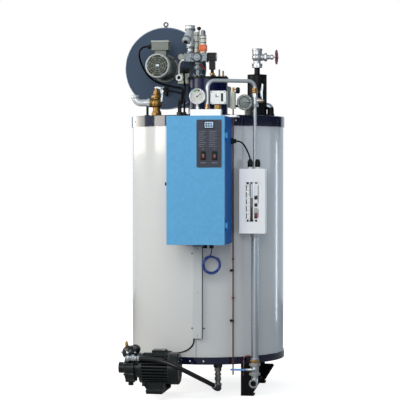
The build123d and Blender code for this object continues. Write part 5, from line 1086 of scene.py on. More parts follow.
@dataclass
class GasTrain:
    """Gas strainer, valve block, coils and solenoid.

    Attributes:
        y: Y of the train's middle line.
        inlet_x: X of the strainer.
        inlet_collars: Collars on the strainer's pipe.
        inlet_bead: Bead round its open end.
        pipe_x: X of the down pipe.
        pipe_collars: Collars on that pipe.
        front: Front face of the valve block.
        leg_end: End of the strainer's leg.
        leg_way: Direction of the leg.
        slim_coil: X and radius of the narrow coil.
        slim_bands: Heights of its bands.
        wide_coil: X and radius of the wide coil.
        wide_bands: Heights of its bands.
        knob_x: X of the actuator with the knob.
        knob: Radius and height of the knob's outline.
        dome_z: Height of the valve's dome and its bolt.
        dome: Radius and height of the dome's outline.
        sleeve: Corners of the orange coil.
        solenoid: X and Z of the solenoid's face.
    """

    y: float = -30.0
    inlet_x: float = -85.0
    inlet_collars: tuple[Collar, ...] = (
        Collar(1778, 1789, 27, 8), Collar(1664, 1676, 20), Collar(1690, 1702, 22, 8))
    inlet_bead: Bead = Bead(1802, 22.6, 2.2, 48)
    pipe_x: float = -45.0
    pipe_collars: tuple[Collar, ...] = (
        Collar(1584, 1602, 25, 8, 1.2), Collar(1608, 1624, 21, 32, 1.2))
    front: float = -58.0
    leg_end: Point = (-99, -70, 1726)
    leg_way: Point = (-0.214, -0.611, -0.763)
    slim_coil: Pair = (-54, 10.6)
    slim_bands: Lengths = (1690, 1722, 1754)
    wide_coil: Pair = (-20, 16.6)
    wide_bands: Lengths = (1716, 1736, 1752)
    knob_x: float = -40.5
    knob: Outline = ((0, 0), (7, 1), (10, 5), (10.5, 10), (8, 15), (0, 17))
    dome_z: float = 1644.0
    dome: Outline = ((0, 0), (25, 0), (25, 3), (22, 7), (14, 11), (0, 12))
    sleeve: tuple[Point, Point] = ((-38, -49, 1676), (-2, -11, 1708))
    solenoid: Pair = (45.8, 1648)

    def dress_nodes(self) -> None:
        """Give the gas train's nodes their finishes."""
        slim_x, slim_r = self.slim_coil
        wide_x, wide_r = self.wide_coil
        dress("gas_strainer", STRAINER)
        dress("gas_valve", GRIMY, [
            (MOULDED, lambda at, way: at.z > 1777 and abs(at.x - self.knob_x) < 10),
            (PUTTY, lambda at, way: at.z > 1664.5 and abs(at.x - slim_x) < slim_r),
            (DIAL, lambda at, way: 1664.5 < at.z < 1757 and abs(at.x - wide_x) < wide_r)])
        dress("gas_solenoid", MOULDED)

    def fittings(self) -> None:
        """Add the strainer's cap and plug, the collars and the block's end covers."""
        end, way = Vector(self.leg_end), Vector(self.leg_way)
        Shaper().rod(end - way * 5, end + way * 6, 20.5, 8, edge=1.5).piece("strainer_cap", STRAINER)
        Shaper().rod(end + way * 5, end + way * 12, 11, 6, edge=0.8).piece("strainer_plug", DARK)
        trim = Shaper().rod(end - way * 17, end - way * 9, 21, 32, edge=1.5)
        trim.collars(self.inlet_x, self.y, self.inlet_collars).beads(self.inlet_x, self.y, (self.inlet_bead,))
        for low_x, high_x in ((-111, -103), (-3, 4)):
            trim.block((low_x, -60.5, 1621.5), (high_x, 0.5, 1666.5), 1.5)
        trim.collars(self.pipe_x, self.y, self.pipe_collars).piece("gas_fittings", GRIMY)

    def bolts(self) -> None:
        """Add the bolts of the valve block and of the pipe's flange, and the brass nuts."""
        heads = Shaper()
        for x in (-97, -76, -16, -9):
            for z in (1630, 1658):
                heads.bolt((x, self.front, z), FRONT, 6)
        heads.bolt((self.pipe_x, self.front - self.dome[-1][1], self.dome_z), FRONT, 12)
        for at in round_points((self.pipe_x, self.y, 1559), 27, 4, 45):
            heads.bolt(at, UP, 7)
        heads.piece("gas_bolts", ALLOY)
        brass = Shaper()
        for x, nut in ((self.slim_coil[0], Collar(1664, 1673, 13, edge=0.7)),
                       (self.wide_coil[0], Collar(1664, 1671, 18, edge=0.7)),
                       (26, Collar(1556, 1568, 13, edge=0.7))):
            brass.collars(x, self.y, (nut,))
        brass.piece("gas_nuts", BRASS)

    def coils(self) -> None:
        """Add the coils' bands and the orange sleeve."""
        Shaper().block(*self.sleeve, 2).piece("coil_sleeve", ORANGE)
        bands = Shaper()
        for (x, radius), heights in ((self.slim_coil, self.slim_bands), (self.wide_coil, self.wide_bands)):
            for z in heights:
                bands.rod((x, self.y, z), (x, self.y, z + 3.5), radius, 32, edge=0.5)
        bands.collars(self.wide_coil[0], self.y, (Collar(1770, 1780, 9, 24),)).piece("coil_bands", DARK)

    def build(self) -> None:
        """Dress the gas train and add its trim."""
        self.dress_nodes()
        self.fittings()
        self.bolts()
        self.coils()
        dome = Shaper().lathe((self.pipe_x, self.front, self.dome_z), FRONT, self.dome, 40)
        dome.lathe((-70, self.front, 1646), FRONT, ((0, 0), (13, 0), (12, 4), (6, 6), (0, 6)), 32)
        dome.piece("valve_dome", GRIMY)
        Shaper().lathe((self.knob_x, self.y, 1781), UP, self.knob, 24).piece("valve_knob", MOULDED)
        x, z = self.solenoid
        Shaper().rod((x, self.y, z), (x + 3.2, self.y, z), 14, 32, edge=1).piece("solenoid_faces", PALE)
        lever = Shaper().rod((-33, -40, 1611), (-22, -52, 1603), 5, 16, edge=0.8)
        lever.bar((-24, -53, 1606), (-1, -57, 1582), 9, 3.5, (-0.4, -0.9, -0.3))
        lever.piece("gas_cock_lever", ROCKER)


@dataclass
class SafetyGroup:
    """Brass safety valve with its discharge bend.

    Attributes:
        at: X and Y of the valve.
        nuts: Nuts on the valve's body.
        belly: Radius and height of the body's bulge.
        belly_z: Height of the bulge's foot.
        outlet_z: Height of the outlet.
        bend_x: X of the upturned end.
        bend_beads: Beads round that end.
        lever_line: X from the valve and Z of the lever's four corners.
    """

    at: Pair = (-217, -235)
    nuts: tuple[Collar, ...] = (
        Collar(1350.2, 1364, 26), Collar(1436, 1448, 25, 8), Collar(1452, 1462, 18))
    belly: Outline = ((17, 0), (25, 6), (28, 20), (27, 32), (21, 40), (17, 42))
    belly_z: float = 1390.0
    outlet_z: float = 1413.0
    bend_x: float = -323.0
    bend_beads: tuple[Bead, ...] = (Bead(1447, 19.5, 2.6, 48), Bead(1436, 18, 2, 48))
    lever_line: tuple[Quad, ...] = (
        (4, 1490, 24, 1478), (23, 1480, 31, 1452), (31, 1454, 28, 1418))

    def build(self) -> None:
        """Dress the valve and add nuts, beads and the lever's links."""
        x, y = self.at
        dress("safety_valve", BRONZE)
        dress("safety_lever", CHROME, [(DARK, lambda at, way: at.x > x + 16)])
        dress("safety_discharge", STRAINER, [(BLACK, lambda at, way: -276 < at.x < -248 and at.z < 1396)])
        nuts = Shaper().collars(x, y, self.nuts).lathe((x, y, self.belly_z), UP, self.belly, 32)
        nuts.rod((x - 26, y, self.outlet_z), (x - 14, y, self.outlet_z), 22, 8, edge=1)
        nuts.rod((x + 14, y - 4, 1430), (x + 30, y - 8, 1436), 5, 8, edge=0.5).piece("safety_nuts", BRONZE)
        trim = Shaper().rod((x - 44, y, self.outlet_z), (x - 30, y, self.outlet_z), 22, 8, edge=1)
        trim.beads(self.bend_x, y, self.bend_beads)
        for near_x, near_z, far_x, far_z in self.lever_line:
            trim.bar((x + near_x, y - 16, near_z), (x + far_x, y - 16, far_z), 8, 3)
        trim.rod((x + 10, y - 15, 1485), (x + 10, y + 2, 1485), 4, 16)
        trim.rod((x + 28, y - 17, 1420), (x + 28, y + 2, 1420), 4, 16)
        trim.piece("safety_beads", STRAINER)


@dataclass
class SteamGroup:
    """Steam separator, stop valve and handwheel.

    Attributes:
        at: X and Y of the separator.
        nuts: Nuts on the upright pipe.
        welds: Weld beads of the separator.
        axis_z: Height of the valve's spindle.
        wheel_x: X of the handwheel.
    """

    at: Pair = (262, -130)
    nuts: tuple[Collar, ...] = (Collar(1584, 1598, 24, 6, 1.2), Collar(1668, 1677.5, 26, 8))
    welds: tuple[Bead, ...] = (Bead(1352, 48, 2.4, 64), Bead(1549, 46, 2, 64), Bead(1553, 14.5, 1.8, 48))
    axis_z: float = 1636.0
    wheel_x: float = 357.0

    def build(self) -> None:
        """Dress the steam group and add nuts and welds."""
        x, y = self.at
        dress("steam_separator", BLACK)
        dress("separator_return", BLACK, [(ZINC, lambda at, way: at.z > 1392 and at.x > 311)])
        dress("steam_valve", SATIN)
        dress("handwheel", MAROON)
        nuts = Shaper().collars(x, y, self.nuts)
        for near, far, radius, edge in ((36, 48, 21, 1.2), (66, 78, 13, 1.0)):
            nuts.rod((x + near, y, self.axis_z), (x + far, y, self.axis_z), radius, 6, edge=edge)
        nuts.piece("steam_nuts", SATIN)
        Shaper().beads(x, y, self.welds).piece("separator_welds", BLACK)
        x, z = self.wheel_x, self.axis_z
        nut = Shaper().rod((x + 4, y, z), (x + 10, y, z), 6.5, 6, edge=0.6)
        nut.piece("handwheel_nut", ZINC, Body.HANDWHEEL)


@dataclass
class ControlCabinet:
    """Cabinet with its door, panel, inside and cable trunk.

    Attributes:
        panel_face: Front face of the control panel.
        display: Low X and Z and high X and Z of the display.
        rockers: X of the two switches.
        rocker_z: Middle height of the switches.
        plate: Front face of the mounting plate inside.
        inner: Lowest and highest X of rails and ducts.
        rail_z: Heights of the rails.
        duct_z: Heights of the wire ducts.
        devices: Height, lowest X, width, height, depth and count of each row of devices inside.
        trunk_shadow_strip: Corners of the dark strip beside the trunk: a painted shadow line.
        seal: Low X and Z and high X and Z of the strips of the door's seal.
    """

    panel_face: float = -648.3
    display: Quad = (84, 1280.5, 123, 1307)
    rockers: Pair = (77.5, 129.5)
    rocker_z: float = 1152.5
    plate: float = -409.3
    inner: Pair = (-70, 150)
    rail_z: Lengths = (1210, 1050, 895)
    duct_z: Lengths = (1292, 1130, 972, 835)
    devices: tuple[tuple[float, float, float, float, float, int], ...] = (
        (1210, -66, 18, 82, 62, 6), (1210, 56, 44, 80, 70, 2),
        (1050, -66, 54, 92, 78, 3), (895, -66, 9, 46, 40, 23))
    trunk_shadow_strip: tuple[Point, Point] = ((30.6, -394, 286), (32.2, -377, 726))
    seal: tuple[Quad, ...] = (
        (-90, 748, -84, 1331), (164, 748, 170, 1331),
        (-84, 748, 164, 754), (-84, 1325, 164, 1331))

    def dress_nodes(self) -> None:
        """Give the cabinet's nodes their finishes."""
        # The cabinet's walls take the deeper blue, darkened as painted shade on its side
        for node, finish in {"control_cabinet": SHADED_BLUE, "cabinet_door": BLUE, "cabinet_frame": ZINC,
                             "cable_trunking": TRUNK, "control_panel": PANEL, "display_window": DISPLAY,
                             "rocker_switches": MOULDED, "door_latch": MOULDED}.items():
            dress(node, finish)
        dress("cable_glands", MOULDED, [(PALE, lambda at, way: 1090 < at.z < 1101.5 and at.x > 240)])

    def frames(self) -> None:
        """Add the frames of the display and of the two switches."""
        front, back = self.panel_face - 3, self.panel_face + 0.2
        low_x, low_z, high_x, high_z = self.display
        wide = 4
        bars = Shaper()
        for left, low, right, high in ((low_x - wide, low_z - wide, high_x + wide, low_z),
                                       (low_x - wide, high_z, high_x + wide, high_z + wide),
                                       (low_x - wide, low_z, low_x, high_z),
                                       (high_x, low_z, high_x + wide, high_z)):
            bars.block((left, self.panel_face - 2.4, low), (right, back, high), 0.4)
        inner, outer, tall = 8.2, 12, 20
        for x in self.rockers:
            for side in (-1, 1):
                left, right = sorted((x + side * inner, x + side * outer))
                bars.block((left, front, self.rocker_z - tall), (right, back, self.rocker_z + tall), 0.5)
                middle = self.rocker_z + side * 17.9
                bars.block((x - inner, front, middle - 2.2), (x + inner, back, middle + 2.2), 0.5)
        bars.piece("panel_frames", MOULDED, Body.DOOR)

    def marks(self) -> None:
        """Add the figures on the display and the printed marks on the panel."""
        face = self.panel_face
        low_x, low_z, _, _ = self.display
        figures = Shaper()
        for row in range(2):
            for column in range(3):
                x, z = low_x + 3.5 + column * 11.5, low_z + 4 + row * 10.5
                figures.block((x, face - 2, z), (x + 9 - row * column, face - 1.4, z + 7))
        figures.piece("display_blocks", SLATE, Body.DOOR)
        print_front, back = face - 0.3, face + 0.2
        lines = Shaper()
        for i in range(9):
            z = 1194 + i * 8.6
            lines.block((56, print_front, z), (78 + 6 * (i % 3), back, z + 2.2))
            lines.block((104, print_front, z), (140 - 8 * (i % 2), back, z + 2.2))
        for x in self.rockers:
            lines.block((x - 13, face - 0.35, 1118), (x + 13, back, 1121.5))
            lines.screw((x, face, 1183), FRONT, 3.4)
        for x in (52, 155):
            for z in (1105, 1311):
                lines.screw((x, face, z), FRONT, 2.2)
        lines.piece("panel_marks", MARKS, Body.DOOR)

    def switches(self) -> None:
        """Add the pale marks and the red lenses of the switches."""
        face, z = self.panel_face, self.rocker_z
        dashes, lenses = Shaper(), Shaper()
        for x in self.rockers:
            dashes.block((x - 2, face - 6.5, z + 5), (x + 2, face - 5.6, z + 6.2))
            lenses.block((x - 6, face - 6.3, z - 11), (x + 6, face - 5.5, z + 3), 0.3)
        dashes.piece("rocker_marks", PALE, Body.DOOR)
        lenses.piece("rocker_lenses", ROCKER, Body.DOOR)

    def inside(self) -> None:
        """Fill the cabinet with rails, switchgear, terminals and wire ducts."""
        rails, bodies, tops, ducts, heads = Shaper(), Shaper(), Shaper(), Shaper(), Shaper()
        left, right = self.inner
        seat = self.plate + 0.2
        for z in self.rail_z:
            rails.block((left, self.plate - 7.5, z - 17.5), (right, seat, z + 17.5), 0.6)
        foot = self.plate - 7
        for row, (z, x, wide, tall, deep, count) in enumerate(self.devices):
            pale = row in (0, 3)
            held = bodies if pale else tops
            shoulder = foot - deep * 0.7
            for i in range(count):
                near, far = x + i * wide + 0.4, x + i * wide + wide - 0.4
                held.block((near, shoulder, z - tall / 2), (far, foot + 1, z + tall / 2), 1)
                held.block((near, foot - deep, z - tall / 4), (far, foot + 1, z + tall / 4), 1)
                for end in (-1, 1):
                    heads.screw((x + i * wide + wide / 2, shoulder, z + end * tall * 0.38), FRONT, 2.4)
        duct_front = self.plate - 52
        for z in self.duct_z:
            ducts.block((left, duct_front, z - 16), (right, seat, z + 16), 1)
            for start in range(-66, 150, 12):
                ducts.block((start, duct_front - 0.4, z - 15), (start + 6, duct_front + 0.2, z + 15))
        rails.piece("din_rails", ZINC)
        bodies.piece("breakers", PALE)
        tops.piece("contactors", MOULDED)
        ducts.piece("wire_ducts", MARKS)
        heads.piece("device_screws", ZINC)

    def trunk(self) -> None:
        """Add the trunk's painted shadow line, tabs and screws, and the drain tube's saddles beside it."""
        Shaper().block(*self.trunk_shadow_strip).piece("trunk_shadow_gap", MOULDED)
        tabs = Shaper()
        for x, z in ((-19, 690), (-19, 333), (38, 333)):
            tabs.screw((x, -374.4, z), FRONT, 4.2)
        tabs.piece("trunk_tabs", DARK)
        clips = Shaper()
        for z in (371, 610):
            clips.block((161, -367, z - 5), (171.5, -334, z + 5), 1)
            clips.block((161, -369, z - 4), (181, -366, z + 4), 1)
        clips.piece("tube_saddles", MOULDED)
        screws = Shaper()
        for z in (300, 505, 712):
            screws.screw((9.5, -395, z), FRONT, 3)
        screws.piece("trunk_screws", ZINC)

    def build(self) -> None:
        """Dress the cabinet and add its trim."""
        self.dress_nodes()
        self.frames()
        self.marks()
        self.switches()
        self.inside()
        self.trunk()
        strips = Shaper()
        for left, low, right, high in self.seal:
            strips.block((left, -621.8, low), (right, -620.8, high), 0.2)
        strips.piece("door_seal", MOULDED)


@dataclass
class Instruments:
    """Pressure gauge, pressure switch, cock, level control and needle valve.

    Attributes:
        gauge: Middle of the gauge's dial.
        dial_r: Radius of the dial.
        sweep: First angle of the scale in degrees from the top, and its step.
        ticks: Number of ticks on the scale.
        tick_r: Radius of the ticks' outer ends.
        hand_turn: Angle of the pointer in degrees from the top.
        zones: Name, finish, first and last angle of the dial's coloured zones.
        switch: Low and high corner of the pressure switch.
        nuts: X, Y and shape of the brass nuts on the small pipes.
        level: Middle of the level control's face.
        boss: Radius and height of the boss on that face.
        needle: X and Y of the needle valve.
        needle_nuts: Nuts of the needle valve.
        knob_z: Height of its knob.
        knob: Radius and distance along the axis of the knob's outline.
    """

    gauge: Point = (18, -451, 1433)
    dial_r: float = 33.6
    sweep: Pair = (-135, 6.75)
    ticks: int = 41
    tick_r: float = 30.5
    hand_turn: float = 52.0
    zones: tuple[tuple[str, Finish, int, int], ...] = (
        ("gauge_green", GREEN, -34, 2), ("gauge_red", ROCKER, 6, 26))
    switch: tuple[Point, Point] = ((83, -468, 1396), (156, -412, 1458))
    nuts: tuple[tuple[float, float, Collar], ...] = (
        (65.5, -440, Collar(1372, 1383, 12.5, edge=0.8)),
        (65.5, -440, Collar(1385, 1396, 11, edge=0.8)),
        (277, -340, Collar(1451, 1463, 16, edge=0.8)),
        (277, -340, Collar(1464, 1474, 13, edge=0.8)),
        (119.5, -440, Collar(1372, 1396, 11, edge=0.8)))
    level: Point = (231, -372, 1407)
    boss: Outline = ((0, 0), (20, 0), (18.5, 3.5), (9, 4.5), (8, 8), (0, 8.6))
    needle: Pair = (176, -362)
    needle_nuts: tuple[Collar, ...] = (Collar(1377, 1390, 12.5, edge=0.8), Collar(1432, 1442, 12.5, edge=0.8))
    knob_z: float = 1464.0
    knob: Outline = ((0, 0), (13, 1), (15, 4), (15, 14), (12, 18), (0, 19))

    def dial_at(self, turn: float, radius: float, lift: float = 0.4) -> Point:
        """Find a point on the dial.

        Args:
            turn: Degrees clockwise from the top.
            radius: Distance from its middle.
            lift: How far in front of the dial.

        Returns:
            The point in mm.
        """
        x, y, z = self.gauge
        return x + radius * math.sin(math.radians(turn)), y - lift, z + radius * math.cos(math.radians(turn))

    def dial(self) -> None:
        """Add the dial, its scale, its pointer and its rim."""
        x, y, z = self.gauge
        Shaper().rod((x, y + 0.6, z), (x, y - 0.4, z), self.dial_r, 96).piece("gauge_dial", DIAL)
        first, step = self.sweep
        scale = Shaper()
        for i in range(self.ticks):
            turn, (deep, wide) = first + i * step, (6.5, 1.3) if i % 5 == 0 else (3.5, 0.7)
            scale.bar(self.dial_at(turn, self.tick_r - deep), self.dial_at(turn, self.tick_r), wide, 0.25)
        for i in range(0, self.ticks, 5):
            turn = first + i * step
            scale.bar(self.dial_at(turn - 6, 18.5), self.dial_at(turn + 6, 18.5), 3.6, 0.25)
        scale.piece("gauge_scale", MARKS)
        tail, point = self.dial_at(self.hand_turn, -9, 1.2), self.dial_at(self.hand_turn, 25, 1.2)
        hand = Shaper().bar(tail, point, 1.8, 0.8)
        hand.rod((x, y - 0.4, z), (x, y - 3, z), 3.6, 24, edge=0.4).piece("gauge_pointer", MOULDED)
        for name, finish, start, end in self.zones:
            arc = Shaper()
            for turn in range(start, end, 4):
                arc.bar(self.dial_at(turn - 2.1, 28), self.dial_at(turn + 2.1, 28), 8, 0.35)
            arc.piece(name, finish)
        Shaper().ring((x, y - 4.4, z), BACK, 36, 1.7, 96).piece("gauge_bezel", POLISHED)

    def dress_nodes(self) -> None:
        """Give the instruments' nodes their finishes."""
        for node, finish in {"gauge_bracket": WHITE, "pressure_switch": PALE, "impulse_pipe": PIPE,
                             "cock_lever": ZINC, "level_control": CASTING, "drain_tube": COPPER}.items():
            dress(node, finish)
        dress("pressure_gauge", POLISHED, [(PIPE, lambda at, way: at.z < 1395.4)])
        dress("gauge_cock", PIPE, [(BRASS, lambda at, way: at.x > 300)])
        dress("needle_valve", PUTTY, [(BRASS, lambda at, way: at.z > 1455 and at.x < 189),
                                      (MOULDED, lambda at, way: at.x > 188.8)])

    def pressure_switch(self) -> None:
        """Add the screws, the knob and the marks of the pressure switch."""
        (low_x, front, low_z), (high_x, _, high_z) = self.switch
        knob_x, knob_z = low_x + 30, high_z - 22
        cover = Shaper()
        for x in (low_x + 6, high_x - 6):
            for z in (low_z + 6, high_z - 6):
                cover.screw((x, front, z), FRONT, 3)
        cover.rod((knob_x, front, knob_z), (knob_x, front - 1.4, knob_z), 9, 32, edge=0.4)
        cover.piece("switch_screws", ZINC)
        marks = Shaper().block((low_x + 50, front - 0.4, low_z + 12), (low_x + 60, front + 0.2, high_z - 12))
        marks.block((low_x - 0.3, front + 17, low_z - 0.3), (high_x + 0.3, front + 18.2, high_z + 0.3))
        marks.block((knob_x - 1.2, front - 1.8, knob_z - 7), (knob_x + 1.2, front - 1.2, knob_z + 7))
        marks.piece("switch_marks", MOULDED)

    def level_face(self) -> None:
        """Add the boss, ribs, bolts and groove of the level control's face."""
        x, y, z = self.level
        cast = Shaper().lathe(self.level, FRONT, self.boss, 48)
        for near, far in zip(round_points(self.level, 9, 6, 0, Plane.XZ),
                             round_points(self.level, 30, 6, 0, Plane.XZ)):
            cast.bar(near, far, 3.2, 2.6)
        cast.piece("level_boss", CASTING)
        bolts = Shaper()
        for at in round_points(self.level, 31, 6, 30, Plane.XZ):
            bolts.bolt(at, FRONT, 7)
        bolts.rod((x - 6, y - 12, z + 1), (x + 33, y - 10, z + 3), 3.2, 16, edge=0.8)
        bolts.piece("level_bolts", ALLOY)
        Shaper().ring(self.level, BACK, 25.5, 1.6, 64).piece("level_groove", MOULDED)

    def build(self) -> None:
        """Dress the instruments and add their trim."""
        self.dress_nodes()
        self.dial()
        Shaper().block((303, -345, 1430), (315, -335, 1462), 2.5).piece("cock_shank", ZINC, Body.COCK)
        tip = Shaper().rod((309, -340, 1459), (315, -340, 1494), 6.8, 16, tip=4.6, edge=1.2)
        tip.piece("cock_tip", PUTTY, Body.COCK)
        self.pressure_switch()
        nuts = Shaper()
        for x, y, nut in self.nuts:
            nuts.collars(x, y, (nut,))
        nuts.piece("pipe_nuts", BRASS)
        self.level_face()
        x, y = self.needle
        Shaper().lathe((x + 13, y, self.knob_z), RIGHT, self.knob, 20).piece("needle_knob", MOULDED)
        Shaper().collars(x, y, self.needle_nuts).piece("needle_nuts", BRASS)


@dataclass
class WaterColumn:
    """Water gauge, its column, blow-down valve and lever.

    Attributes:
        at: X and Y of the column.
        nuts: Nuts and collars on the column.
        valve_nut: Nut on the blow-down valve.
        window_x: X of the gauge box' middle.
        glass_x: X of the sight glass from there.
        glass_y: Y of the sight glass' middle.
        glass_span: Lower and upper end of the sight glass.
        level_z: Height of the water.
        float_x: X of the float's tube from the window's middle.
        floats: Name, finish and heights of the coloured floats.
        box: Low and high corner of the gauge box.
        glands: X of the two glands on the box.
        gland_y: Y of the glands.
        loop_z: Height where the sample tube's bend starts.
        lever_z: Height of the blow-down lever's pivot.
        drain_z: Height of the drain's mouth.
    """

    at: Pair = (277, -340)
    nuts: tuple[Collar, ...] = (
        Collar(186, 192, 19.5, 32, 0.8), Collar(766, 787, 22, edge=1.2), Collar(1093, 1101, 21),
        Collar(1386, 1399, 20))
    valve_nut: Collar = Collar(166, 184, 24, edge=1.2)
    window_x: float = 269.0
    glass_x: float = -3.0
    glass_y: float = -380.0
    glass_span: Pair = (850, 1022)
    level_z: float = 955.0
    float_x: float = 18.0
    floats: tuple[tuple[str, Finish, tuple[Pair, ...]], ...] = (
        ("float_navy", BAND, ((948, 966), (914, 930))), ("float_red", MAROON, ((858, 884),)),
        ("float_cream", PUTTY, ((884, 908),)))
    box: tuple[Point, Point] = ((207, -384.5, 787), (331, -319.5, 1093))
    glands: Pair = (258, 293)
    gland_y: float = -362.5
    loop_z: float = 184.0
    lever_z: float = 140.0
    drain_z: float = 77.0

    def dress_nodes(self) -> None:
        """Give the column's nodes their finishes."""
        x = self.at[0]
        dress("gauge_box", WHITE)
        dress("gauge_core", PALE)
        dress("column_pipes", POLISHED, [(PIPE, lambda at, way: at.z > self.box[1][2])])
        # The drain's bore is painted black: painted shade inside it
        dress("blowdown_valve", CHROME, [(MOULDED, lambda at, way: (
            at.y > -394.5 and math.hypot(at.x - x, at.z - self.drain_z) < 13.9))])

    def glass(self) -> None:
        """Add the scale's plate and the sight glass, full below the water line and empty above it."""
        x, y = self.window_x, self.glass_y
        Shaper().block((x - 32.4, y + 1, 842.2), (x + 32.4, y + 3, 1029.8)).piece("scale_plate", WHITE)
        foot, top = self.glass_span
        x += self.glass_x
        for name, finish, low, high in (("glass_above_water", GAUGE_AIR, self.level_z, top),
                                        ("glass_below_water", GAUGE_WATER, foot, self.level_z)):
            tube = Shaper().rod((x, y, low), (x, y, high), 6.5, 32, edge=0.5).piece(name, finish)
            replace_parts(tube, "sight_glass")

    def scale(self) -> None:
        """Add the marks and pegs of the scale."""
        x, y = self.window_x, self.glass_y
        marks = Shaper()
        for i in range(5):
            marks.block((x - 29, y + 0.2, 858 + i * 33), (x - 25, y + 1.2, 883 + i * 33))
        for i in range(9):
            marks.block((x - 21, y + 0.4, 858 + i * 18.8), (x - 17, y + 1.2, 860 + i * 18.8))
        for low, high in ((930, 1016), (862, 900)):
            marks.block((x + 27.5, y + 0.2, low), (x + 30, y + 1.2, high))
        for place in (-21, -3, 19):
            marks.rod((x + place, y + 1.2, 1024), (x + place, y - 4, 1024), 5.5, 20, edge=0.8)
        for place in (-21, 19):
            marks.rod((x + place, y + 1.2, 848), (x + place, y - 3, 848), 5, 20, edge=0.8)
        marks.rod((x + self.glass_x, y, 845), (x + self.glass_x, y, 853), 8.5, 24, edge=0.8)
        marks.rod((x - 10.5, y - 1, 962), (x - 10.5, y - 1, 1022), 1.6, 12)
        marks.piece("scale_marks", MOULDED)

    def float_column(self) -> None:
        """Add the tube with the coloured floats and the screws of the gauge box."""
        x, y = self.window_x + self.float_x, self.glass_y
        Shaper().rod((x, y, 852), (x, y, 1022), 7, 24, edge=0.5).piece("float_tube", WHITE)
        for name, finish, spans in self.floats:
            held = Shaper()
            for low, high in spans:
                held.rod((x, y, low), (x, y, high), 7.8, 24, edge=0.5)
            held.piece(name, finish)
        (low_x, front, low_z), (high_x, _, high_z) = self.box
        screws = Shaper()
        for screw_x in (low_x + 9, high_x - 9):
            for screw_z in (low_z + 11, high_z - 11):
                screws.screw((screw_x, front, screw_z), FRONT, 3.4)
        screws.piece("gauge_box_screws", WHITE)

    def sample_tube(self) -> None:
        """Add the thin copper tube beside the blow-down valve."""
        x, y, joint = self.at[0] - 31, self.at[1] - 12, self.loop_z + 0.3
        reach, radius = 21, 2.6
        tube = Shaper().arch((x, y, self.loop_z), reach, radius)
        tube.rod((x - reach, y, 108), (x - reach, y, joint), radius, 16, edge=0.4)
        tube.rod((x + reach, y, 174), (x + reach, y, joint), radius, 16)
        tube.piece("sample_tube", COPPER)

    def lever(self) -> None:
        """Add the blow-down lever: its bolt, its steel shank and its blue sleeve."""
        x, z = self.at[0], self.lever_z
        Shaper().bolt((x, -379.4, z), FRONT, 11).piece("lever_bolt", ZINC, Body.BLOWDOWN)
        shank = Shaper().rod((x, -374.4, z), (x, -379.4, z), 10, 32, edge=0.8)
        shank.block((x - 42, -379.2, z - 5), (x, -374.6, z + 5), 1.2)
        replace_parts(shank.piece("lever_shank", LEVER, Body.BLOWDOWN), "blowdown_lever")
        sleeve = Shaper().block((x - 112, -380.6, z - 4.4), (x - 36, -373.2, z + 4.4), 2.6)
        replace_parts(sleeve.piece("lever_sleeve", SLEEVE, Body.BLOWDOWN), "blowdown_lever")

    def build(self) -> None:
        """Dress the column and add its trim."""
        x, y = self.at
        self.dress_nodes()
        self.glass()
        self.scale()
        self.float_column()
        Shaper().collars(x, y, self.nuts).piece("column_nuts", SATIN)
        Shaper().collars(x, y, (self.valve_nut,)).piece("blowdown_nut", BRASS)
        self.sample_tube()
        collars = Shaper()
        for x in self.glands:
            collars.rod((x, self.gland_y, 1103), (x, self.gland_y, 1128), 13, 12, edge=1)
            collars.rod((x, self.gland_y, 1127), (x, self.gland_y, 1138), 12, 24, tip=7.5, edge=1)
        collars.piece("gland_collars", MOULDED)
        self.lever()
        x, z = self.at[0], self.drain_z
        ribs = Shaper().ring((x, -392.5, z), BACK, 19.2, 2.2, 48)
        ribs.ring((x, -384, z), BACK, 18.4, 1.6, 48).piece("drain_beads", SATIN)


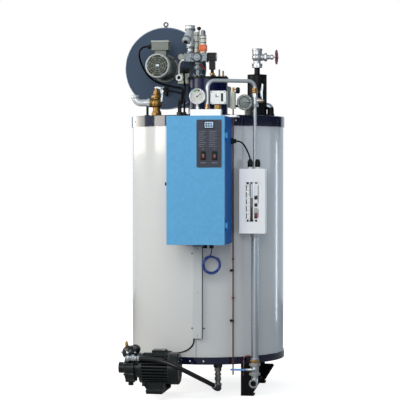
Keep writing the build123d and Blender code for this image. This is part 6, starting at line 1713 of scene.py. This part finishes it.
@dataclass
class FeedPump:
    """Feed pump with its motor, nozzle and pipe fittings.

    Attributes:
        axis: Y and Z of the pump's shaft.
        front_x: X of the casing's left face.
        middle_x: X of the casing's middle.
        back_x: X of the fan cover's right face.
        fins: Lowest and highest X of the motor's fins.
        fin_root: Radius of the grooves between them.
        riser_x: X of the pump's riser.
        head_x: X of the rounded head from the riser.
        head: Radius and height of the head's outline.
        cap: Radius and height of the slanted cap beside it.
        nipple: Y and Z of the hose nipple.
        clamp: Radius and distance along the hose of a clamp's outline.
        inlet: Where the hose meets the feed pipe.
        inlet_way: Direction of the feed pipe there.
        lead: Length of the feed pipe from there to its elbow.
        elbow_r: Radius of the elbow's ball.
        elbow_collars: Collars above the elbow, as heights from its middle.
    """

    axis: Pair = (-455, 150)
    front_x: float = -322.0
    middle_x: float = -298.0
    back_x: float = -64.0
    fins: Pair = (-237, -111)
    fin_root: float = 68.5
    riser_x: float = -298.0
    head_x: float = -6.0
    head: Outline = ((0, 0), (24, 0), (35, 10), (38, 26), (35, 42), (26, 54), (0, 56))
    cap: Outline = ((0, 0), (22, 0), (24, 16), (20, 28), (10, 34), (0, 35))
    nipple: Pair = (-532, 204)
    clamp: Outline = ((11.4, -5), (12.8, -4.6), (12.8, 4.6), (11.4, 5), (11.4, -5))
    inlet: Point = (84, -325, 52)
    inlet_way: Point = (0.331, 0.876, -0.350)
    lead: float = 30.0
    elbow_r: float = 17.5
    elbow_collars: tuple[Collar, ...] = (
        Collar(9, 22, 18.5, 24, 1.5), Collar(36, 52, 17), Collar(60, 70, 16, 24, 1.5))

    def dress_nodes(self) -> None:
        """Give the pump's nodes their finishes."""
        y, z = self.axis
        first, last = self.fins
        dress("pump_casing", IRON)
        # The grooves between the motor's fins take painted shade
        dress("pump_motor", IRON, [(GROOVE_SHADE, lambda at, way: (
            first < at.x < last and math.hypot(at.y - y, at.z - z) < self.fin_root and at.z > 95))])
        dress("feed_fittings", GALVANISED, [(CHROME, lambda at, way: at.x < -200)])

    def casing(self) -> None:
        """Add the riser's plug and the rounded head, the lugs and the drain plugs of the pump."""
        y, z = self.axis
        plug = Shaper().rod((self.riser_x - 20, y - 4, 248), (self.riser_x - 22, y - 4, 268), 8, 6, edge=0.8)
        plug.rod((self.riser_x - 22, y - 4, 266), (self.riser_x - 23, y - 4, 276), 5, 16, edge=0.8)
        plug.piece("riser_plug", BRASS)
        head = Shaper().lathe((self.riser_x + self.head_x, y, 196), UP, self.head, 40)
        head.lathe((self.riser_x + 16, y, 226), (0.35, 0, 1), self.cap, 32)
        for lug_x, lug_y, lug_z in round_points((self.middle_x, y, z), 63, 8, 22.5, Plane.YZ):
            head.rod((lug_x - 23, lug_y, lug_z), (lug_x + 23, lug_y, lug_z), 8, 16, edge=1.5)
        head.rod((self.middle_x, y - 10, 92), (self.middle_x, y - 10, 68), 13, 8, edge=1.5)
        head.rod((-232, y - 20, 92), (-232, y - 24, 66), 11, 8, edge=1.5)
        head.piece("pump_head", IRON)

    def bolts(self) -> None:
        """Add the studs round the head, and the bolts of casing, fan cover and terminal box."""
        y, z = self.axis
        head_x = self.riser_x + self.head_x
        studs = Shaper()
        for at in round_points((head_x, y, 224), 37, 6, 20):
            studs.bolt(at, (at[0] - head_x, at[1] - y, 4), 8)
        studs.piece("head_studs", CHROME)
        heads = Shaper()
        for at in round_points((self.front_x, y, z), 54, 6, 30, Plane.YZ):
            heads.bolt(at, LEFT, 8)
        for at in round_points((self.back_x, y, z), 52, 4, 45, Plane.YZ):
            heads.bolt(at, RIGHT, 5)
        heads.bolt((self.riser_x, -547, self.nipple[1]), FRONT, 17)
        for screw_x, screw_y in ((-194, -444), (-144, -444), (-194, -386), (-144, -386)):
            heads.screw((screw_x, screw_y, 234), UP, 3.2)
        heads.piece("pump_bolts", ZINC)

    def feed_line(self) -> None:
        """Add the hose's clamps and nut, and the nuts, elbow and collars of the feed pipe."""
        end, way = Vector(self.inlet), Vector(self.inlet_way)
        y, z = self.nipple
        clamps = Shaper().lathe((-249, y - 0.2, z), RIGHT, self.clamp, 40)
        clamps.block((-253, y - 16.5, z - 3), (-245, y - 11.5, z + 5), 1)
        clamps.lathe(end - way * 14, way, self.clamp, 40).piece("hose_clamps", CHROME)
        Shaper().rod((-282, y, z), (-268, y, z), 17, 6, edge=1).piece("hose_nut", CHROME)
        bend_x, bend_y, bend_z = end + way * self.lead
        nuts = Shaper().rod(end + way * 3, end + way * 16, 19.5, 6, edge=1)
        nuts.collars(bend_x, bend_y, (Collar(140, 158, 22, 8),)).piece("feed_nuts", DARK)
        turns = [math.pi * i / 10 for i in range(11)]
        ball = [(self.elbow_r * math.sin(a), -self.elbow_r * math.cos(a)) for a in turns]
        elbow = Shaper().lathe((bend_x, bend_y, bend_z), UP, ball, 32)
        elbow.rod(end + way * 16, end + way * 27, self.elbow_r, 24, edge=1.5)
        elbow.collars(bend_x, bend_y, self.elbow_collars, bend_z).piece("feed_elbow", GALVANISED)

    def fan_cover(self) -> None:
        """Add the beads and the slots of the motor's fan cover."""
        y, z = self.axis
        ribs = Shaper()
        for i in range(3):
            ribs.ring((self.back_x - 10 - 14 * i, y, z), RIGHT, 75, 1.4, 64)
        ribs.piece("fan_cover_beads", IRON)
        middle = (self.back_x, y, z)
        slots = Shaper()
        for near, far in zip(round_points(middle, 16, 20, 0, Plane.YZ),
                             round_points(middle, 44, 20, 0, Plane.YZ)):
            slots.bar(near, far, 3, 0.3, RIGHT)
        slots.piece("fan_cover_slots", MOULDED)

    def build(self) -> None:
        """Dress the pump and add its trim."""
        self.dress_nodes()
        self.casing()
        self.bolts()
        self.feed_line()
        self.fan_cover()


@dataclass(frozen=True)
class Lamp:
    """One soft lamp that faces the boiler.

    Attributes:
        name: Name of the lamp.
        angle: Degrees to the right of the camera, seen from the boiler.
        rise: Height of the lamp in metres.
        far: Distance from the boiler's axis in metres.
        width: Width in metres.
        tall: Height of its face in metres.
        watts: Power.
        aim: Height of the point it faces.
        tint: Colour of its light.
    """

    name: str
    angle: float
    rise: float
    far: float
    width: float
    tall: float
    watts: float
    aim: float = 0.9
    tint: str = "#FFFFFF"

    def hang(self, azimuth: float) -> None:
        """Make the lamp and hang it in its place.

        Args:
            azimuth: Degrees the camera stands to the right of the front.
        """
        data = bpy.data.lights.new(self.name, "AREA")
        data.shape = "RECTANGLE"
        data.size, data.size_y, data.energy = self.width, self.tall, self.watts
        data.color = linear(self.tint)[:3]
        made = bpy.data.objects.new(self.name, data)
        bpy.context.collection.objects.link(made)
        way = math.radians(azimuth + self.angle)
        made.location = (math.sin(way) * self.far, -math.cos(way) * self.far, self.rise)
        look = Vector((0.0, 0.0, self.aim)) - made.location
        made.rotation_euler = look.to_track_quat("-Z", "Y").to_euler()


@dataclass
class Studio:
    """Camera, lamps, floor and background.

    Attributes:
        azimuth: Degrees the camera stands to the right of the front.
        distance: Metres from the camera to the boiler's axis.
        height: Height of the camera in metres.
        aside: Metres the camera stands to its left.
        tilt: Degrees the camera looks down.
        field: Angle of view in degrees.
        floor: Half width of the floor in metres.
        sky_turn: Degrees to the right of the camera where the sky is brightest.
        sky_dim: Least brightness of the sky as a light.
        sky_bright: Its greatest brightness.
        sky_mirror: Its brightness in reflections.
        sky_tint: Its colour as a light.
        card_angle: Degrees to the right of the camera of the dark card.
        card: Its distance from the boiler's axis, width, lower edge and height in metres.
        lamps: The lamps.
    """

    azimuth: float = 9.0
    distance: float = 7.885
    height: float = 1.087
    aside: float = 0.040
    tilt: float = 1.087
    field: float = 14.42
    floor: float = 5.0
    sky_turn: float = 80.0
    sky_dim: float = 0.19
    sky_bright: float = 0.5
    sky_mirror: float = 0.9
    sky_tint: str = "#D9E7F2"
    card_angle: float = 88.0
    card: Quad = (3.6, 9.2, 1.38, 1.4)
    lamps: tuple[Lamp, ...] = (
        Lamp("key", -55, 2.8, 4.2, 2.0, 2.2, 74, aim=1.1, tint="#FFF7E8"),
        Lamp("fill", -7, 2.4, 5.0, 2.6, 2.6, 116),
        Lamp("strip_side", -73, 1.7, 3.0, 1.0, 1.0, 34, aim=1.7, tint="#FFF9EF"),
        Lamp("strip_back", -125.5, 1.7, 3.0, 2.3, 1.0, 31, aim=1.7, tint="#FFF7EA"),
        Lamp("strip_high", 68, 1.22, 3.4, 5.0, 0.28, 11, aim=1.22, tint="#DCEDFF"),
        Lamp("strip_right", 122, 0.68, 3.0, 0.22, 1.2, 6, aim=0.68, tint="#E2EEFF"))

    def camera(self) -> None:
        """Place the camera as the photo shows the boiler."""
        turn = math.radians(self.azimuth)
        data = bpy.data.cameras.new("camera")
        data.sensor_width = 36.0
        data.lens = data.sensor_width / 2 / math.tan(math.radians(self.field) / 2)
        data.clip_end = 100.0
        made = bpy.data.objects.new("camera", data)
        bpy.context.collection.objects.link(made)
        made.location = (math.sin(turn) * self.distance - math.cos(turn) * self.aside,
                         -math.cos(turn) * self.distance - math.sin(turn) * self.aside, self.height)
        made.rotation_euler = (math.radians(90 - self.tilt), 0.0, turn)
        bpy.context.scene.camera = made

    def background(self) -> None:
        """Make the world white to the eye and grey as a light, brighter on the right."""
        world = bpy.data.worlds.new("studio")
        world.use_nodes = True
        bpy.context.scene.world = world
        tree = world.node_tree
        tree.nodes.clear()
        path = add_node(tree, "ShaderNodeLightPath")
        seen = add_node(tree, "ShaderNodeMath", {"operation": "MAXIMUM"}, {
            0: path.outputs["Is Camera Ray"], 1: path.outputs["Is Transmission Ray"]})
        way = math.radians(self.azimuth + self.sky_turn)
        coords = add_node(tree, "ShaderNodeTexCoord")
        side = add_node(tree, "ShaderNodeVectorMath", {"operation": "DOT_PRODUCT"}, {
            0: coords.outputs["Generated"], 1: (0.95 * math.sin(way), -0.95 * math.cos(way), 0.3)})
        soft = add_node(tree, "ShaderNodeMapRange", {}, {
            "Value": side.outputs["Value"], "From Min": -0.1, "From Max": 1.0, "To Min": self.sky_dim,
            "To Max": self.sky_bright})
        glossy = add_node(tree, "ShaderNodeMapRange", {}, {
            "Value": path.outputs["Is Glossy Ray"], "To Min": soft.outputs["Result"],
            "To Max": self.sky_mirror})
        level = add_node(tree, "ShaderNodeMath", {"operation": "MAXIMUM"}, {
            0: seen.outputs["Value"], 1: glossy.outputs["Result"]})
        tint = add_node(tree, "ShaderNodeMix", {"data_type": "RGBA"}, {
            0: seen.outputs["Value"], 6: linear(self.sky_tint), 7: (1, 1, 1, 1)})
        back = add_node(tree, "ShaderNodeBackground", {}, {
            "Color": tint.outputs[2], "Strength": level.outputs["Value"]})
        add_node(tree, "ShaderNodeOutputWorld", {}, {"Surface": back.outputs["Background"]})

    def sheet(self, name: str, place: Matrix, cover: bpy.types.Material) -> bpy.types.Object:
        """Make one flat sheet of the stage.

        Args:
            name: Name of the sheet.
            place: Size and place of a sheet that is a metre wide.
            cover: Its material.

        Returns:
            The new object.
        """
        part = bmesh.new()
        bmesh.ops.create_grid(part, x_segments=1, y_segments=1, size=0.5, matrix=place)
        mesh = bpy.data.meshes.new(name)
        part.to_mesh(mesh)
        part.free()
        mesh.materials.append(cover)
        made = bpy.data.objects.new(name, mesh)
        bpy.context.collection.objects.link(made)
        return made

    def ground(self) -> None:
        """Lay a white floor that keeps the boiler's shadow."""
        paper = bpy.data.materials.new("white studio floor")
        paper.use_nodes = True
        tree = paper.node_tree
        tree.nodes.clear()
        path = add_node(tree, "ShaderNodeLightPath")
        place = add_node(tree, "ShaderNodeTexCoord")
        away = add_node(tree, "ShaderNodeVectorMath", {"operation": "LENGTH"}, {0: place.outputs["Object"]})
        level = add_node(tree, "ShaderNodeMapRange", {}, {
            "Value": away.outputs["Value"], "From Min": 0.4, "From Max": 1.6, "To Min": 0.80, "To Max": 1.0})
        seen = add_node(tree, "ShaderNodeMath", {"operation": "MULTIPLY"}, {
            0: path.outputs["Is Camera Ray"], 1: level.outputs["Result"]})
        cover = add_node(tree, "ShaderNodeBsdfDiffuse", {}, {"Color": linear("#BDBDBD")})
        shine = add_node(tree, "ShaderNodeEmission", {}, {
            "Color": (1, 1, 1, 1), "Strength": seen.outputs["Value"]})
        both = add_node(tree, "ShaderNodeAddShader", {}, {
            0: cover.outputs["BSDF"], 1: shine.outputs["Emission"]})
        add_node(tree, "ShaderNodeOutputMaterial", {}, {"Surface": both.outputs["Shader"]})
        self.sheet("floor", Matrix.Scale(2 * self.floor, 4), paper)

    def dark_card(self) -> None:
        """Hang a dark card out of sight, for the top band's enamel to mirror."""
        felt = bpy.data.materials.new("black felt")
        felt.use_nodes = True
        tree = felt.node_tree
        tree.nodes.clear()
        shade = add_node(tree, "ShaderNodeBsdfPrincipled", {}, {
            "Base Color": linear("#202226"), "Roughness": 1.0})
        add_node(tree, "ShaderNodeOutputMaterial", {}, {"Surface": shade.outputs["BSDF"]})
        way = math.radians(self.azimuth + self.card_angle)
        far, width, low, tall = self.card
        middle = (math.sin(way) * far, -math.cos(way) * far, low + tall / 2)
        turn = Matrix.Rotation(way, 4, "Z") @ Matrix.Rotation(math.pi / 2, 4, "X")
        size = Matrix.Diagonal((width, tall, 1, 1))
        made = self.sheet("dark_card", Matrix.Translation(middle) @ turn @ size, felt)
        made.visible_camera = made.visible_diffuse = made.visible_shadow = False

    def build(self) -> None:
        """Set the stage."""
        bpy.context.scene.view_settings.view_transform = "Standard"
        self.camera()
        self.background()
        self.ground()
        self.dark_card()
        for lamp in self.lamps:
            lamp.hang(self.azimuth)


def main() -> None:
    """Dress the part, add the cords, set the stage and report each piece that is made."""
    logging.basicConfig(level=logging.INFO, format="%(message)s")
    for group in (Shell(), Burner(), GasTrain(), SafetyGroup(), SteamGroup(), ControlCabinet(), Instruments(),
                  WaterColumn(), FeedPump(), Cords(), Studio()):
        known = set(bpy.data.objects.keys())
        group.build()
        for name in bpy.data.objects.keys():
            if name not in known:
                LOG.info("%s: %s", type(group).__name__, name)
    LOG.info("boiler dressed with %d finishes", len(bpy.data.materials))


if __name__ == "__main__":
    main()
